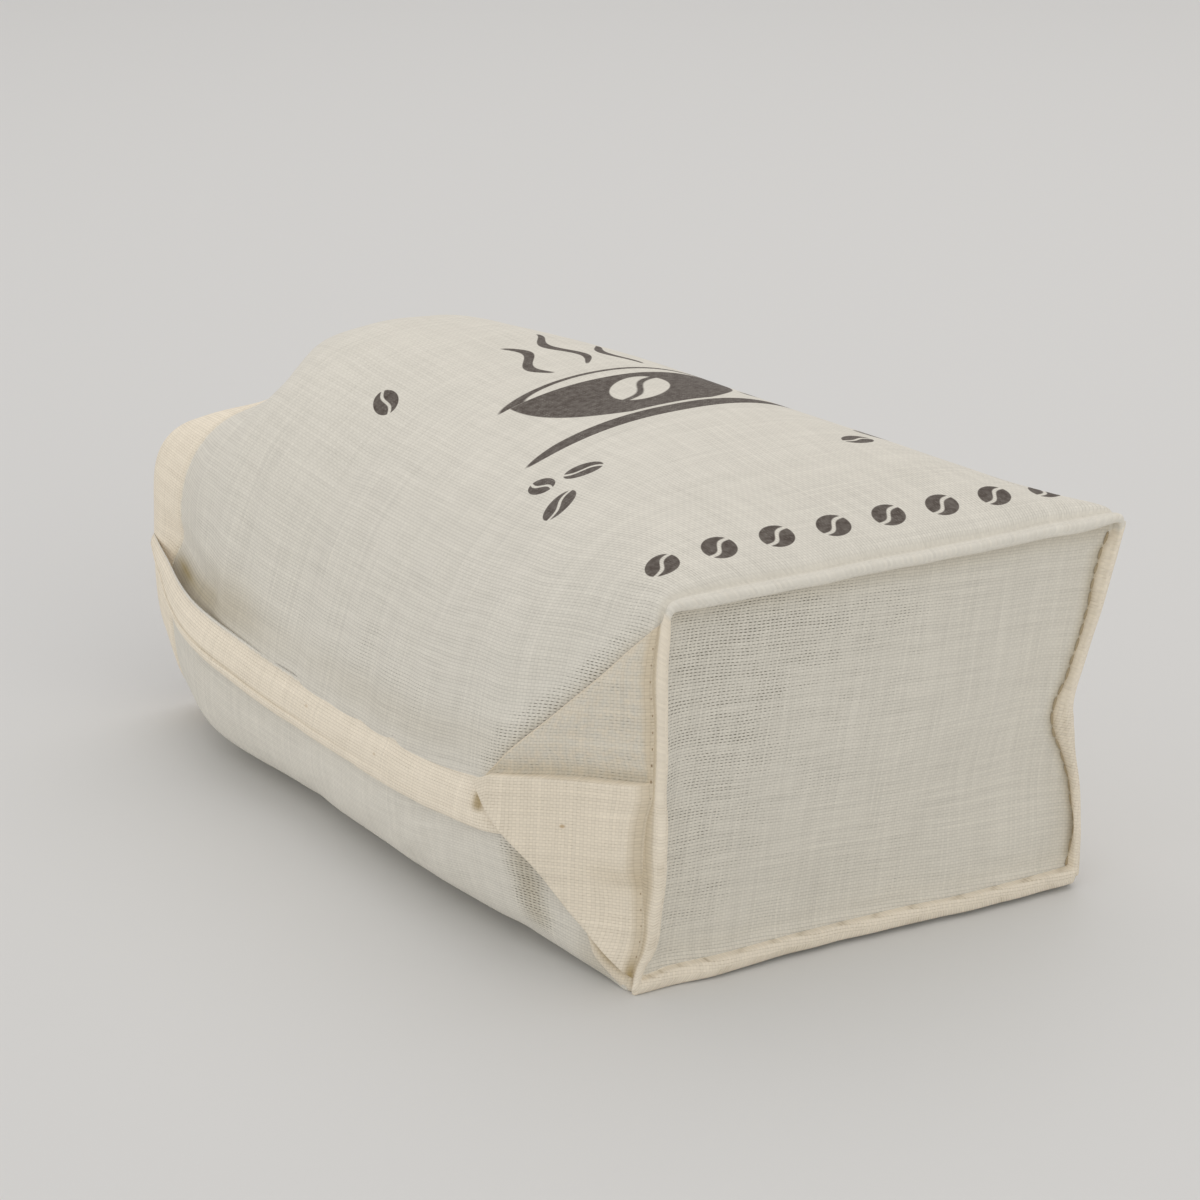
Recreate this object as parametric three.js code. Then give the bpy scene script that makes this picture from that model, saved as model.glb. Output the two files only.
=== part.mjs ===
// A boxed coffee bag of unbleached muslin, lying on its back with its mouth open.
//
// The cloth is one shell: a front panel on top, a back panel on the table, a flat base at the near end with a
// pinched rim round it, and a hemmed mouth at the far end. A sewn band runs along each side from the mouth to
// the base, where the boxed corner is folded up on the side as a triangular flap.
//
// Millimetres, +Z up. The bag is drawn from its base, with +Y towards the mouth, then moved so that the
// origin lies under the middle of its flat underside.

import * as THREE from "three";

// Driving dimensions of the sewn bag.
const BASE_WIDTH = 88;
const BASE_HEIGHT = 64;
const QUARTER_GIRTH = (BASE_WIDTH + BASE_HEIGHT) / 2;
const LENGTH = 157;
const CLOTH = 1.5;
const HEM_EXTRA = 0.7;
const HEM_LENGTH = 11;
const HEM_STEP = 1;
const RIM_DEPTH = 3.2;
const RIM_THICKNESS = 2;
const SETTLE = 0.7;

// The middle of the flat underside, in the drawing's own coordinates.
const ORIGIN_X = -6;
const ORIGIN_Y = 80;

// Cross sections from the base rim (y = 0) to the mouth. half: half width. shift: how far the middle lies
// to +X. top: height of the front panel. seam: height of the side seams. left, right and keel: how round the
// front's left and right and the underside are, 0 square and 1 elliptical. lean: how far the top leans to +X.
const SECTIONS = [
  { y: 0, half: 43, shift: 0, top: 64, seam: 32, left: 0.06, right: 0.06, keel: 0.06, lean: 5.7 },
  { y: 6, half: 45.2, shift: -1.2, top: 68, seam: 32, left: 0.2, right: 0.2, keel: 0.15, lean: 5.5 },
  { y: 16, half: 47.4, shift: -4.3, top: 72, seam: 32, left: 0.4, right: 0.4, keel: 0.26, lean: 5.2 },
  { y: 28, half: 49, shift: -9, top: 75.6, seam: 31, left: 0.68, right: 0.56, keel: 0.42, lean: 5 },
  { y: 60, half: 50.8, shift: -9, top: 77.6, seam: 26.4, left: 0.9, right: 0.84, keel: 0.43, lean: 6.2 },
  { y: 95, half: 51, shift: -9, top: 78.7, seam: 25.6, left: 0.92, right: 1, keel: 0.4, lean: 5.1 },
  { y: 125, half: 53.6, shift: -10, top: 80.6, seam: 30.6, left: 0.83, right: 1.36, keel: 0.4, lean: 2.8 },
  { y: 143, half: 53.6, shift: -6.2, top: 75.4, seam: 33.2, left: 0.95, right: 1.1, keel: 0.4, lean: -0.6 },
  { y: LENGTH, half: 54.6, shift: -3, top: 61, seam: 35.3, left: 0.41, right: 0.48, keel: 0.58, lean: 0 },
];

// The front lip sags in its middle, from here to the mouth.
const LIP_START = 138;
const LIP_DIP = 10;

// Soft hollows in the cloth. around: girth from the left seam, up over the front. along: distance from the
// rim. wide and long: how far a hollow reaches round the girth and along the bag.
const HOLLOWS = [
  { place: "kink in the right rim", around: 152, along: 0, wide: 12, long: 13, depth: 4.6 },
  { place: "front panel beside the left flap", around: 30, along: 17, wide: 11, long: 12, depth: 1.3 },
  { place: "back panel beside the left flap", around: -20, along: 27, wide: 8, long: 13, depth: 1.8 },
  { place: "front panel beside the right flap", around: 122, along: 19, wide: 11, long: 13, depth: 1.2 },
  { place: "front panel before the crown", around: 66, along: 70, wide: 20, long: 17, depth: 1.1 },
  { place: "valley over the left seam's end", around: 9, along: 139, wide: 8, long: 13, depth: 2.2 },
  { place: "left side above the seam", around: 14, along: 92, wide: 9, long: 22, depth: 0.9 },
  { place: "right shoulder near the mouth", around: 126, along: 122, wide: 14, long: 15, depth: 1.6 },
];

// The seam bands from the flaps to the mouth, thinner where they leave the front panel than at their free
// edge. wide: width of the band. swing: how far it stands out from hanging straight down, in degrees.
const SEAM_BANDS = [
  { y: 27.4, wide: 6.6, swing: 11 },
  { y: 45, wide: 8.6, swing: 12 },
  { y: 85, wide: 8.8, swing: 13 },
  { y: 115, wide: 8.4, swing: 17 },
  { y: 135, wide: 7, swing: 30 },
  { y: 148, wide: 4.8, swing: 40 },
  { y: 156, wide: 2.6, swing: 44 },
];
const BAND_THICKNESS = 1.7;
const BAND_ROOT_THICKNESS = 1;
const BAND_ROOT = 1.2;
const BAND_GAP = 0.4;

// The folded corners: a right-angled triangle on each side. The end of the seam band inside shows through it
// as a raised step between two heights.
const FLAP_LENGTH = 27;
const FLAP_START = 0.6;
const FLAP_GAP = 0.7;
const FLAP_THICKNESS = 1.4;
const FLAP_CORNER = 1.6;
const FLAP_TIP = 1.4;
const FLAP_STEP = { low: 21, high: 36, tip: 33, raise: 0.6, crisp: 1, soft: 3 };

// How finely the cloth is drawn.
const SIDE_STEPS = 6;
const FACE_STEPS = 8;
const OUTER_ROWS = 20;
const INNER_ROWS = 13;
const ROW_CROWDING = 1.25;
const CURVE_SAMPLES = 48;
const PANEL_SCALES = [0.8, 0.5, 0.2];
const FLAP_ROWS = 9;
const FLAP_COLUMNS = 12;
const BAND_ROWS = 24;
const BAND_COLUMNS = 3;

const CREAM = 0xe6dcc6;
const GREY_WHITE = 0xdcd9d0;

// A column of a table at a distance y, by a monotone cubic through the table's rows.
function column(table, name, y) {
  const last = table.length - 1;
  let k = 0;
  while (k < last - 1 && y > table[k + 1].y) {
    k += 1;
  }
  const step = table[k + 1].y - table[k].y;
  const t = THREE.MathUtils.clamp((y - table[k].y) / step, 0, 1);
  const rise = (i) => (table[i + 1][name] - table[i][name]) / (table[i + 1].y - table[i].y);
  const slope = (i) => {
    if (i === 0) {
      return rise(0);
    }
    if (i === last) {
      return rise(last - 1);
    }
    const before = rise(i - 1);
    const after = rise(i);
    return before * after <= 0 ? 0 : (2 * before * after) / (before + after);
  };
  const start = table[k][name];
  const end = table[k + 1][name];
  const cubic = t * t * (3 - 2 * t);
  return start + (end - start) * cubic
    + step * slope(k) * t * (1 - t) * (1 - t)
    - step * slope(k + 1) * t * t * (1 - t);
}

// All the columns at a distance y.
function sectionAt(y) {
  const section = {};
  for (const name of ["half", "shift", "top", "seam", "left", "right", "keel", "lean"]) {
    section[name] = column(SECTIONS, name, y);
  }
  section.dip = LIP_DIP * THREE.MathUtils.clamp((y - LIP_START) / (LENGTH - LIP_START), 0, 1) ** 2;
  return section;
}

// How round a section is between one side seam and the middle of the front or the back.
function panelRound(section, side, up) {
  if (up < 0) {
    return section.keel;
  }
  return side < 0 ? section.left : section.right;
}

// One quarter of a section, from a side seam to the middle of the front or the back, as a curve that gives
// points by their share of its length. side is -1 on the left, and up is 1 for the front and -1 for the back.
function quarterCurve(section, side, up, inset) {
  const round = panelRound(section, side, up);
  const height = up > 0 ? section.top - section.seam : section.seam + SETTLE;
  const points = [];
  for (let k = 0; k <= CURVE_SAMPLES; k += 1) {
    const angle = (Math.PI / 2) * (k / CURVE_SAMPLES);
    const across = k === CURVE_SAMPLES ? 0 : Math.cos(angle) ** round;
    const rise = Math.sin(angle) ** round;
    const sag = up > 0 ? section.dip * (1 - across * across) ** 2 : 0;
    const z = Math.max(section.seam + up * (height - inset) * rise - sag, inset);
    const x = section.shift + side * (section.half - inset) * across + section.lean * (z / BASE_HEIGHT);
    points.push(new THREE.Vector2(x, z));
  }
  const lengths = [0];
  for (let k = 1; k < points.length; k += 1) {
    lengths.push(lengths[k - 1] + points[k].distanceTo(points[k - 1]));
  }
  return (share) => {
    const target = share * lengths[CURVE_SAMPLES];
    let k = 1;
    while (k < CURVE_SAMPLES && lengths[k] < target) {
      k += 1;
    }
    const t = (target - lengths[k - 1]) / (lengths[k] - lengths[k - 1]);
    return points[k - 1].clone().lerp(points[k], t);
  };
}

// Shares of a quarter's length, from the seam through the base's corner to the middle of a panel.
function quarterShares() {
  const corner = BASE_HEIGHT / 2 / QUARTER_GIRTH;
  const shares = [];
  for (let k = 0; k < SIDE_STEPS; k += 1) {
    shares.push(corner * (k / SIDE_STEPS));
  }
  for (let k = 0; k < FACE_STEPS; k += 1) {
    shares.push(corner + (1 - corner) * (k / FACE_STEPS));
  }
  return shares;
}

// Depth of the soft hollows at a girth position and a distance from the rim.
function hollowDepth(around, along) {
  const girth = 4 * QUARTER_GIRTH;
  let depth = 0;
  for (const hollow of HOLLOWS) {
    const gap = around - hollow.around;
    const across = (gap - girth * Math.round(gap / girth)) / hollow.wide;
    const down = (along - hollow.along) / hollow.long;
    depth += hollow.depth * Math.exp(-across * across - down * down);
  }
  return depth;
}

// A closed ring of the cloth at a distance y, starting at the left seam and going up over the front.
// inset draws it inside the outer face, and ringY puts it at another place along Y.
function clothRing(y, inset, ringY = y) {
  const section = sectionAt(y);
  const shares = quarterShares();
  const quarters = [
    { side: -1, up: 1, backwards: false },
    { side: 1, up: 1, backwards: true },
    { side: 1, up: -1, backwards: false },
    { side: -1, up: -1, backwards: true },
  ];
  const middle = new THREE.Vector2(section.shift + section.lean / 2, section.seam);
  const ring = [];
  quarters.forEach(({ side, up, backwards }, index) => {
    const curve = quarterCurve(section, side, up, inset);
    const own = backwards ? [1, ...shares.slice(1).reverse()] : shares;
    for (const share of own) {
      const point = curve(share);
      const around = QUARTER_GIRTH * (index + (backwards ? 1 - share : share));
      const inward = middle.clone().sub(point).normalize();
      point.addScaledVector(inward, hollowDepth(around, y));
      ring.push(new THREE.Vector3(point.x, ringY, Math.max(point.y, inset)));
    }
  });
  return ring;
}

// A ring drawn in towards its own middle.
function shrunkRing(ring, scale) {
  const middle = ringMiddle(ring);
  return ring.map((point) => middle.clone().lerp(point, scale));
}

function ringMiddle(ring) {
  const middle = new THREE.Vector3();
  for (const point of ring) {
    middle.add(point);
  }
  return middle.divideScalar(ring.length);
}

// A closed body through rings of equal counts, with a point at each end.
function loftedBody(rings, startPoint, endPoint) {
  const count = rings[0].length;
  const points = [startPoint, ...rings.flat(), endPoint];
  const index = [];
  const at = (row, k) => 1 + row * count + (k % count);
  for (let k = 0; k < count; k += 1) {
    index.push(0, at(0, k), at(0, k + 1));
    for (let row = 0; row < rings.length - 1; row += 1) {
      index.push(at(row, k), at(row + 1, k + 1), at(row, k + 1));
      index.push(at(row, k), at(row + 1, k), at(row + 1, k + 1));
    }
    index.push(at(rings.length - 1, k + 1), at(rings.length - 1, k), points.length - 1);
  }
  return indexedGeometry(points, index);
}

// A closed slab between two grids of points, outer[row][k] and inner[row][k].
function slab(outer, inner) {
  const rows = outer.length;
  const count = outer[0].length;
  const points = [...outer.flat(), ...inner.flat()];
  const face = (row, k) => row * count + k;
  const back = (row, k) => rows * count + row * count + k;
  const index = [];
  const quad = (a, b, c, d) => index.push(a, b, c, a, c, d);
  for (let row = 0; row < rows - 1; row += 1) {
    for (let k = 0; k < count - 1; k += 1) {
      quad(face(row, k), face(row, k + 1), face(row + 1, k + 1), face(row + 1, k));
      quad(back(row, k), back(row + 1, k), back(row + 1, k + 1), back(row, k + 1));
    }
    quad(face(row, 0), face(row + 1, 0), back(row + 1, 0), back(row, 0));
    quad(face(row, count - 1), back(row, count - 1), back(row + 1, count - 1), face(row + 1, count - 1));
  }
  for (let k = 0; k < count - 1; k += 1) {
    quad(face(0, k), back(0, k), back(0, k + 1), face(0, k + 1));
    quad(face(rows - 1, k), face(rows - 1, k + 1), back(rows - 1, k + 1), back(rows - 1, k));
  }
  return indexedGeometry(points, index);
}

function indexedGeometry(points, index) {
  const geometry = new THREE.BufferGeometry().setFromPoints(points);
  geometry.setIndex(index);
  geometry.computeVertexNormals();
  return geometry;
}

function cloth(name, geometry, color) {
  const material = new THREE.MeshStandardMaterial({ color, roughness: 0.95, metalness: 0 });
  const mesh = new THREE.Mesh(geometry, material);
  mesh.name = name;
  return mesh;
}

// The shell: inside of the base, inner wall to the mouth, hem, outer wall back to the base, rim, base panel.
function bodyCloth() {
  const panelY = RIM_DEPTH;
  const insideY = panelY + CLOTH;
  const rings = [];
  const innerBase = clothRing(insideY, CLOTH);
  for (const scale of [...PANEL_SCALES].reverse()) {
    rings.push(shrunkRing(innerBase, scale));
  }
  for (let k = 0; k <= INNER_ROWS; k += 1) {
    const y = insideY + (LENGTH - insideY) * (k / INNER_ROWS) ** ROW_CROWDING;
    const hem = THREE.MathUtils.smoothstep(y, LENGTH - HEM_LENGTH - HEM_STEP, LENGTH - HEM_LENGTH);
    rings.push(clothRing(y, CLOTH + HEM_EXTRA * hem));
  }
  for (let k = OUTER_ROWS; k >= 0; k -= 1) {
    rings.push(clothRing(LENGTH * (k / OUTER_ROWS) ** ROW_CROWDING, 0));
  }
  const rimInside = clothRing(0, RIM_THICKNESS);
  const panel = clothRing(0, RIM_THICKNESS, panelY);
  rings.push(rimInside, panel);
  for (const scale of PANEL_SCALES) {
    rings.push(shrunkRing(panel, scale));
  }
  return cloth("body_cloth", loftedBody(rings, ringMiddle(innerBase), ringMiddle(panel)), GREY_WHITE);
}

// Where the outer face of the shell lies at a height z on one side, -1 left or 1 right.
function sideX(y, z, side) {
  const section = sectionAt(y);
  const up = z >= section.seam;
  const round = panelRound(section, side, up ? 1 : -1);
  const height = up ? section.top - section.seam : section.seam + SETTLE;
  const rise = Math.abs(z - section.seam) / height;
  const across = Math.max(0, 1 - rise ** (2 / round)) ** (round / 2);
  const girth = z - section.seam;
  const hollow = hollowDepth(side < 0 ? girth : 2 * QUARTER_GIRTH - girth, y);
  return section.shift + section.lean * (z / BASE_HEIGHT) + side * (section.half * across - hollow);
}

// A folded corner, lying on the side of the shell with its long edge on the base's rim.
function cornerFlap(name, side) {
  const outer = [];
  const inner = [];
  const middle = BASE_HEIGHT / 2;
  for (let row = 0; row < FLAP_ROWS; row += 1) {
    const t = row / (FLAP_ROWS - 1);
    const y = FLAP_START + (FLAP_LENGTH - FLAP_START) * t;
    const reach = THREE.MathUtils.lerp(middle - FLAP_CORNER, FLAP_TIP, t);
    const stepTop = THREE.MathUtils.lerp(FLAP_STEP.high, FLAP_STEP.tip, t);
    const outerRow = [];
    const innerRow = [];
    for (let k = 0; k <= FLAP_COLUMNS; k += 1) {
      const z = middle + reach * (1 - 2 * (k / FLAP_COLUMNS));
      const past = THREE.MathUtils.smoothstep(z, stepTop - FLAP_STEP.crisp, stepTop + FLAP_STEP.crisp);
      const above = THREE.MathUtils.smoothstep(z, FLAP_STEP.low - FLAP_STEP.soft, FLAP_STEP.low);
      const under = sideX(y, z, side) + side * FLAP_GAP;
      const over = under + side * (FLAP_THICKNESS + FLAP_STEP.raise * (1 - past) * above);
      innerRow.push(new THREE.Vector3(under, y, z));
      outerRow.push(new THREE.Vector3(over, y, z));
    }
    outer.push(outerRow);
    inner.push(innerRow);
  }
  return cloth(name, facedSlab(outer, inner, side), CREAM);
}

// A seam band along one side, hanging from the seam and swinging outwards towards the mouth.
function sideSeam(name, side) {
  const first = SEAM_BANDS[0].y;
  const last = SEAM_BANDS[SEAM_BANDS.length - 1].y;
  const outer = [];
  const inner = [];
  for (let row = 0; row <= BAND_ROWS; row += 1) {
    const y = first + (last - first) * (row / BAND_ROWS);
    const swing = THREE.MathUtils.degToRad(column(SEAM_BANDS, "swing", y));
    const wide = column(SEAM_BANDS, "wide", y);
    const rootZ = column(SECTIONS, "seam", y) + BAND_ROOT;
    const rootX = sideX(y, rootZ, side) + side * BAND_GAP;
    const down = new THREE.Vector3(side * Math.sin(swing), 0, -Math.cos(swing));
    const out = new THREE.Vector3(side * Math.cos(swing), 0, Math.sin(swing));
    const outerRow = [];
    const innerRow = [];
    for (let k = 0; k <= BAND_COLUMNS; k += 1) {
      const t = k / BAND_COLUMNS;
      const point = new THREE.Vector3(rootX, y, rootZ).addScaledVector(down, wide * t);
      const thick = THREE.MathUtils.lerp(BAND_ROOT_THICKNESS, BAND_THICKNESS, t);
      innerRow.push(point);
      outerRow.push(point.clone().addScaledVector(out, thick));
    }
    outer.push(outerRow);
    inner.push(innerRow);
  }
  return cloth(name, facedSlab(outer, inner, side), CREAM);
}

// A slab whose faces point out on either side of the bag.
function facedSlab(outer, inner, side) {
  const turned = (grid) => (side > 0 ? grid : grid.map((row) => [...row].reverse()));
  return slab(turned(outer), turned(inner));
}

const bag = new THREE.Group();
bag.position.set(-ORIGIN_X, -ORIGIN_Y, 0);
bag.add(bodyCloth());
for (const { end, side } of [{ end: "left", side: -1 }, { end: "right", side: 1 }]) {
  bag.add(sideSeam(`side_seam_${end}`, side));
  bag.add(cornerFlap(`corner_flap_${end}`, side));
}

const part = new THREE.Group();
part.add(bag);

export default part;
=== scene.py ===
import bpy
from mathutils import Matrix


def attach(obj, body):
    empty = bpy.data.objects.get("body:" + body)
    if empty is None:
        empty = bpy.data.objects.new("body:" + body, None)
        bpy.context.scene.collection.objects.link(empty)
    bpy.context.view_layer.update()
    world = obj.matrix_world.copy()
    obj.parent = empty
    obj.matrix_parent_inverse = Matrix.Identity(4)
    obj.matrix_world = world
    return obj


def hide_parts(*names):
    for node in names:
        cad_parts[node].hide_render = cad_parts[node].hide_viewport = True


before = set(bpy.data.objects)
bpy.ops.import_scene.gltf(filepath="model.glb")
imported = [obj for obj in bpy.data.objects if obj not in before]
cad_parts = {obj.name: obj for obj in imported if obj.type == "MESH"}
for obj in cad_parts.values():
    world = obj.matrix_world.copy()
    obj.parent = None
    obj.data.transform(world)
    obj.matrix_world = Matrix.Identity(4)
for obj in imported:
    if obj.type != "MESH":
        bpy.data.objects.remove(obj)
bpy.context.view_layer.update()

import math

import bpy
import numpy as np
from bpy.props import FloatProperty, FloatVectorProperty, IntProperty, PointerProperty
from bpy.types import Operator, Panel, PropertyGroup

bl_info = {
    "name": "Boxed muslin coffee bag",
    "version": (1, 0, 0),
    "blender": (4, 5, 0),
    "location": "View3D > Sidebar > Muslin bag",
    "description": "A boxed coffee bag of unbleached muslin, lying filled out on its back",
    "category": "Object",
}

# The bag is drawn in millimetres from its base rim, with +Y towards the mouth and +Z up, and moved so that
# the origin lies under the middle of its flat underside. Blender's metres come last.
MM = 0.001
ORIGIN = np.array((-6.0, 80.0, 0.0))
BODY = "root"


class Table:
    """A short table with named columns and a row for each place."""

    def __init__(self, names, *rows):
        self.names = names.split()
        self.rows = np.array(rows, float)

    def column(self, name):
        return self.rows[:, self.names.index(name)]

    def at(self, name, place):
        """A column between its rows, by a monotone cubic over the first column."""
        places = self.rows[:, 0]
        values = self.column(name)
        chords = np.diff(values) / np.diff(places)
        before, after = chords[:-1], chords[1:]
        same_way = before * after > 0
        total = np.where(same_way, before + after, 1.0)
        inner = np.where(same_way, 2 * before * after / total, 0.0)
        slopes = np.concatenate((chords[:1], inner, chords[-1:]))
        place = np.clip(place, places[0], places[-1])
        k = np.clip(np.searchsorted(places, place) - 1, 0, len(places) - 2)
        step = places[k + 1] - places[k]
        t = (place - places[k]) / step
        eased = values[k] + (values[k + 1] - values[k]) * t * t * (3 - 2 * t)
        return eased + step * t * (1 - t) * (slopes[k] * (1 - t) - slopes[k + 1] * t)


# Driving dimensions of the sewn bag. SETTLE: how far the round underside is pressed flat by the table.
BASE_WIDTH = 88.0
BASE_HEIGHT = 64.0
QUARTER_GIRTH = (BASE_WIDTH + BASE_HEIGHT) / 2
HALF_GIRTH = 2 * QUARTER_GIRTH
GIRTH = 2 * HALF_GIRTH
CORNER = BASE_HEIGHT / 2
LENGTH = 157.0
SETTLE = 0.7

# Cross sections from the base rim (y = 0) to the mouth. half: half width. shift: how far the middle lies to
# +X. top: height of the front panel. seam: height of the side seams. left, right and keel: how round the
# front's left and right and the underside are, 0 square and 1 elliptical. lean: how far the top leans to +X.
SECTIONS = Table(
    "y half shift top seam left right keel lean",
    (0, 43, 0, 64, 32, 0.025, 0.03, 0.03, 5.7),
    (6, 45.2, -1.2, 68, 32, 0.14, 0.16, 0.11, 5.5),
    (16, 47.4, -4.3, 72, 32, 0.4, 0.4, 0.26, 5.2),
    (28, 49, -9, 75.6, 31, 0.68, 0.56, 0.42, 5),
    (60, 50.8, -9, 77.6, 26.4, 0.9, 0.84, 0.43, 6.2),
    (95, 51, -9, 78.7, 25.6, 0.92, 1, 0.4, 5.1),
    (125, 53.6, -10, 80.6, 30.6, 0.83, 1.36, 0.4, 2.8),
    (143, 53.6, -6.2, 75.4, 33.2, 0.95, 1.1, 0.4, -0.6),
    (LENGTH, 54.6, -3, 61, 35.3, 0.41, 0.48, 0.58, 0),
)

# The front lip sags in its middle, from here to the mouth.
LIP_START = 138.0
LIP_DIP = 10.0

# Soft hollows in the cloth, which the bag's solid has too. around: girth from the left seam, up over the
# front. along: distance from the rim. wide and long: how far a hollow reaches round the girth and along.
HOLLOWS = Table(
    "around along wide long depth",
    (152, 0, 12, 13, 4.6),
    (30, 17, 11, 12, 1.3),
    (-20, 27, 8, 13, 1.8),
    (122, 19, 11, 13, 1.2),
    (66, 70, 20, 17, 1.1),
    (9, 139, 8, 13, 2.2),
    (14, 92, 9, 22, 0.9),
    (126, 122, 14, 15, 1.6),
)

# Finer falls and swells of the front towards the mouth, on top of the solid's hollows.
FALLS = Table(
    "around along wide long depth",
    (42, 146, 9, 15, 4.2),
    (58, 134, 9, 14, -1.5),
    (79, 129, 14, 15, 1.3),
)

# Small corners pulled out to points where the rims meet, as hollows of negative depth.
EARS = Table(
    "around along wide long depth",
    (32, 0, 1.6, 3, -0.4),
    (120, 0, 2.4, 4, -1.2),
    (272, 0, 2.4, 4, -1.0),
)

# Soft troughs and ridges, each along a line from one place on the cloth to another.
CREASES = Table(
    "around along to_around to_along wide depth",
    (4, 58, 26, 54, 3.0, 0.55),
    (5, 70, 30, 68, 3.4, 0.6),
    (5, 82, 24, 84, 3.0, 0.5),
    (5, 97, 34, 100, 4.0, 0.7),
    (6, 112, 26, 118, 3.4, 0.6),
    (12, 126, 40, 134, 4.0, 0.9),
    (4.5, 124, 4.5, 148, 3.6, 1.8),
    (34, 6, 12, 24, 3.0, 0.5),
    (-10, 34, -22, 52, 3.0, 0.6),
    (-8, 44, -20, 66, 2.6, 0.45),
    (-12, 76, -24, 92, 3.2, 0.4),
    (-24, 14, -34, 30, 3.0, 0.5),
    (58, 128, 66, 152, 6.0, 1.0),
    (96, 132, 92, 153, 5.0, 0.9),
    (142, 60, 122, 66, 3.6, 0.6),
    (144, 88, 124, 92, 3.6, 0.6),
    (162, 40, 176, 60, 3.2, 0.6),
    (164, 84, 178, 96, 3.4, 0.5),
)

# Waves of the base panel, in millimetres from its middle. depth is inwards.
PANEL_WAVES = Table(
    "x z wide tall depth",
    (-36, 24, 8, 9, 0.7),
    (-30, -6, 7, 16, 0.35),
    (4, 4, 26, 20, -1.1),
    (24, -14, 12, 8, 0.5),
    (34, 4, 7, 18, 0.9),
    (14, 18, 12, 7, 0.3),
    (-8, -22, 18, 5, 0.4),
)

# The pinched rim round the base: how thick it is on each side, how deep the base panel lies in it, and how
# far forwards the panel comes at its edge.
RIM_LEFT = 0.35
RIM_RIGHT = 0.5
RIM_TOP = 1.3
RIM_BOTTOM = 2.9
RIM_DEPTH = 3.0
PANEL_FOOT = 0.7

# The rim's rounded tip, its row of stitches with a trough beside it, and the valley behind the upper roll.
RIM_TIP = 0.7
RIM_ROW = 2.1
RIM_TROUGH = 0.3
ROLL_BACK = 2.0
ROLL_WIDE = 0.6
ROLL_VALLEY = 0.65

# How far the rim's edge waves, with the share of it that its sides follow, how far the lower edge lifts off
# the table, how far the upper one is raised, and how far the left one goes to +X as it bows forwards.
RIM_WAVE = 0.35
WAVE_SHARE = 0.7
RIM_LIFT = 0.8
RIM_RAISE = 0.6
RIM_SLOPE = 0.57

# How far from the middle of the base the short rims' own shapes begin, and where they are whole.
SHORT_RIMS = (37.0, 42.0)

# The left rim, by height: how far its edge bows forwards, and how far its row of stitches wanders back.
RIM_BOW = Table(
    "height forward row",
    (0, 0, 0),
    (4.3, 0.3, -0.5),
    (7.8, 1.5, 0.1),
    (11.2, 2.0, 0.4),
    (16.4, 2.1, 0.95),
    (23, 2.0, 1.45),
    (29, 1.8, 1.15),
    (34, 1.25, -0.1),
    (40.5, 0.85, -0.2),
    (45.7, 0.45, -0.25),
    (52.6, -0.3, 0),
    (58, -0.55, -0.2),
    (61, -0.5, -0.4),
    (64, 0, 0),
)

# The right rim, by height: how far its edge stands out, and how far its foot wanders inwards.
FIN = Table(
    "height outward foot",
    (0, -0.35, 0),
    (4, -0.35, 0.2),
    (7.4, -0.55, -0.5),
    (11, -0.55, -1.2),
    (14.5, -0.4, -0.55),
    (18, -0.25, -0.4),
    (21.5, 0, 0.05),
    (25, 0.5, 0.6),
    (28.6, 1.1, 1.1),
    (31, 0.85, 1.05),
    (33.9, 0.45, 0.6),
    (37.5, 0.1, -0.05),
    (41, 0, 0.3),
    (46.3, 0, 0.35),
    (49.8, 0.1, 0.3),
    (55, 1.0, 0.9),
    (58.7, 1.7, 0.9),
    (61, 1.95, 0.3),
    (64, 2.0, 0.5),
)

# The lower rim, by its place across the base: how far it bulges forwards.
RIM_BULGE = Table(
    "across forward",
    (-44, 0),
    (-36, 0.3),
    (-25, 1.2),
    (-12, 1.3),
    (8, 1.85),
    (18, 2.9),
    (30, 3.0),
    (44, 2.6),
)

# The corner flaps: right-angled triangles folded up on the sides. root and tip: where they start and end,
# with half their height there. start and length: the stretch of them that is drawn. ease: how softly the
# cloth beside them takes up their thickness.
FLAP_ROOT = 0.6
FLAP_TIP = 28.3
FLAP_REACH = 30.4
FLAP_TIP_REACH = 0.25
FLAP_START = 1.5
FLAP_LENGTH = 28.4
FLAP_EASE = 0.4

# How the flaps lie on the cloth: their thickness over a small gap, how far they press it in, how far their
# lower edge bows down and their upper edge up, and how far the tip hangs below the middle.
FLAP_GAP = 0.2
FLAP_THICKNESS = 0.75
FLAP_PROUD = FLAP_GAP + FLAP_THICKNESS
FLAP_PRESS = 0.65
FLAP_BOW = 2.0
FLAP_ARCH = 0.25
FLAP_DROP = 1.8

# The flaps are raised over the end of the seam band, from a low place to a step that runs from the rim to the
# tip, with a valley above it and a puff above that. The second layer shows as a lip under a notch.
FLAP_STEP_LOW = 20.5
FLAP_STEP_HIGH = 36.0
FLAP_STEP_TIP = 31.6
FLAP_STEP_RAISE = 1.25
FLAP_VALLEY = 0.7
FLAP_PUFF = 0.55
FLAP_LIP = 3.6
FLAP_NOTCH = 1.3

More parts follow.
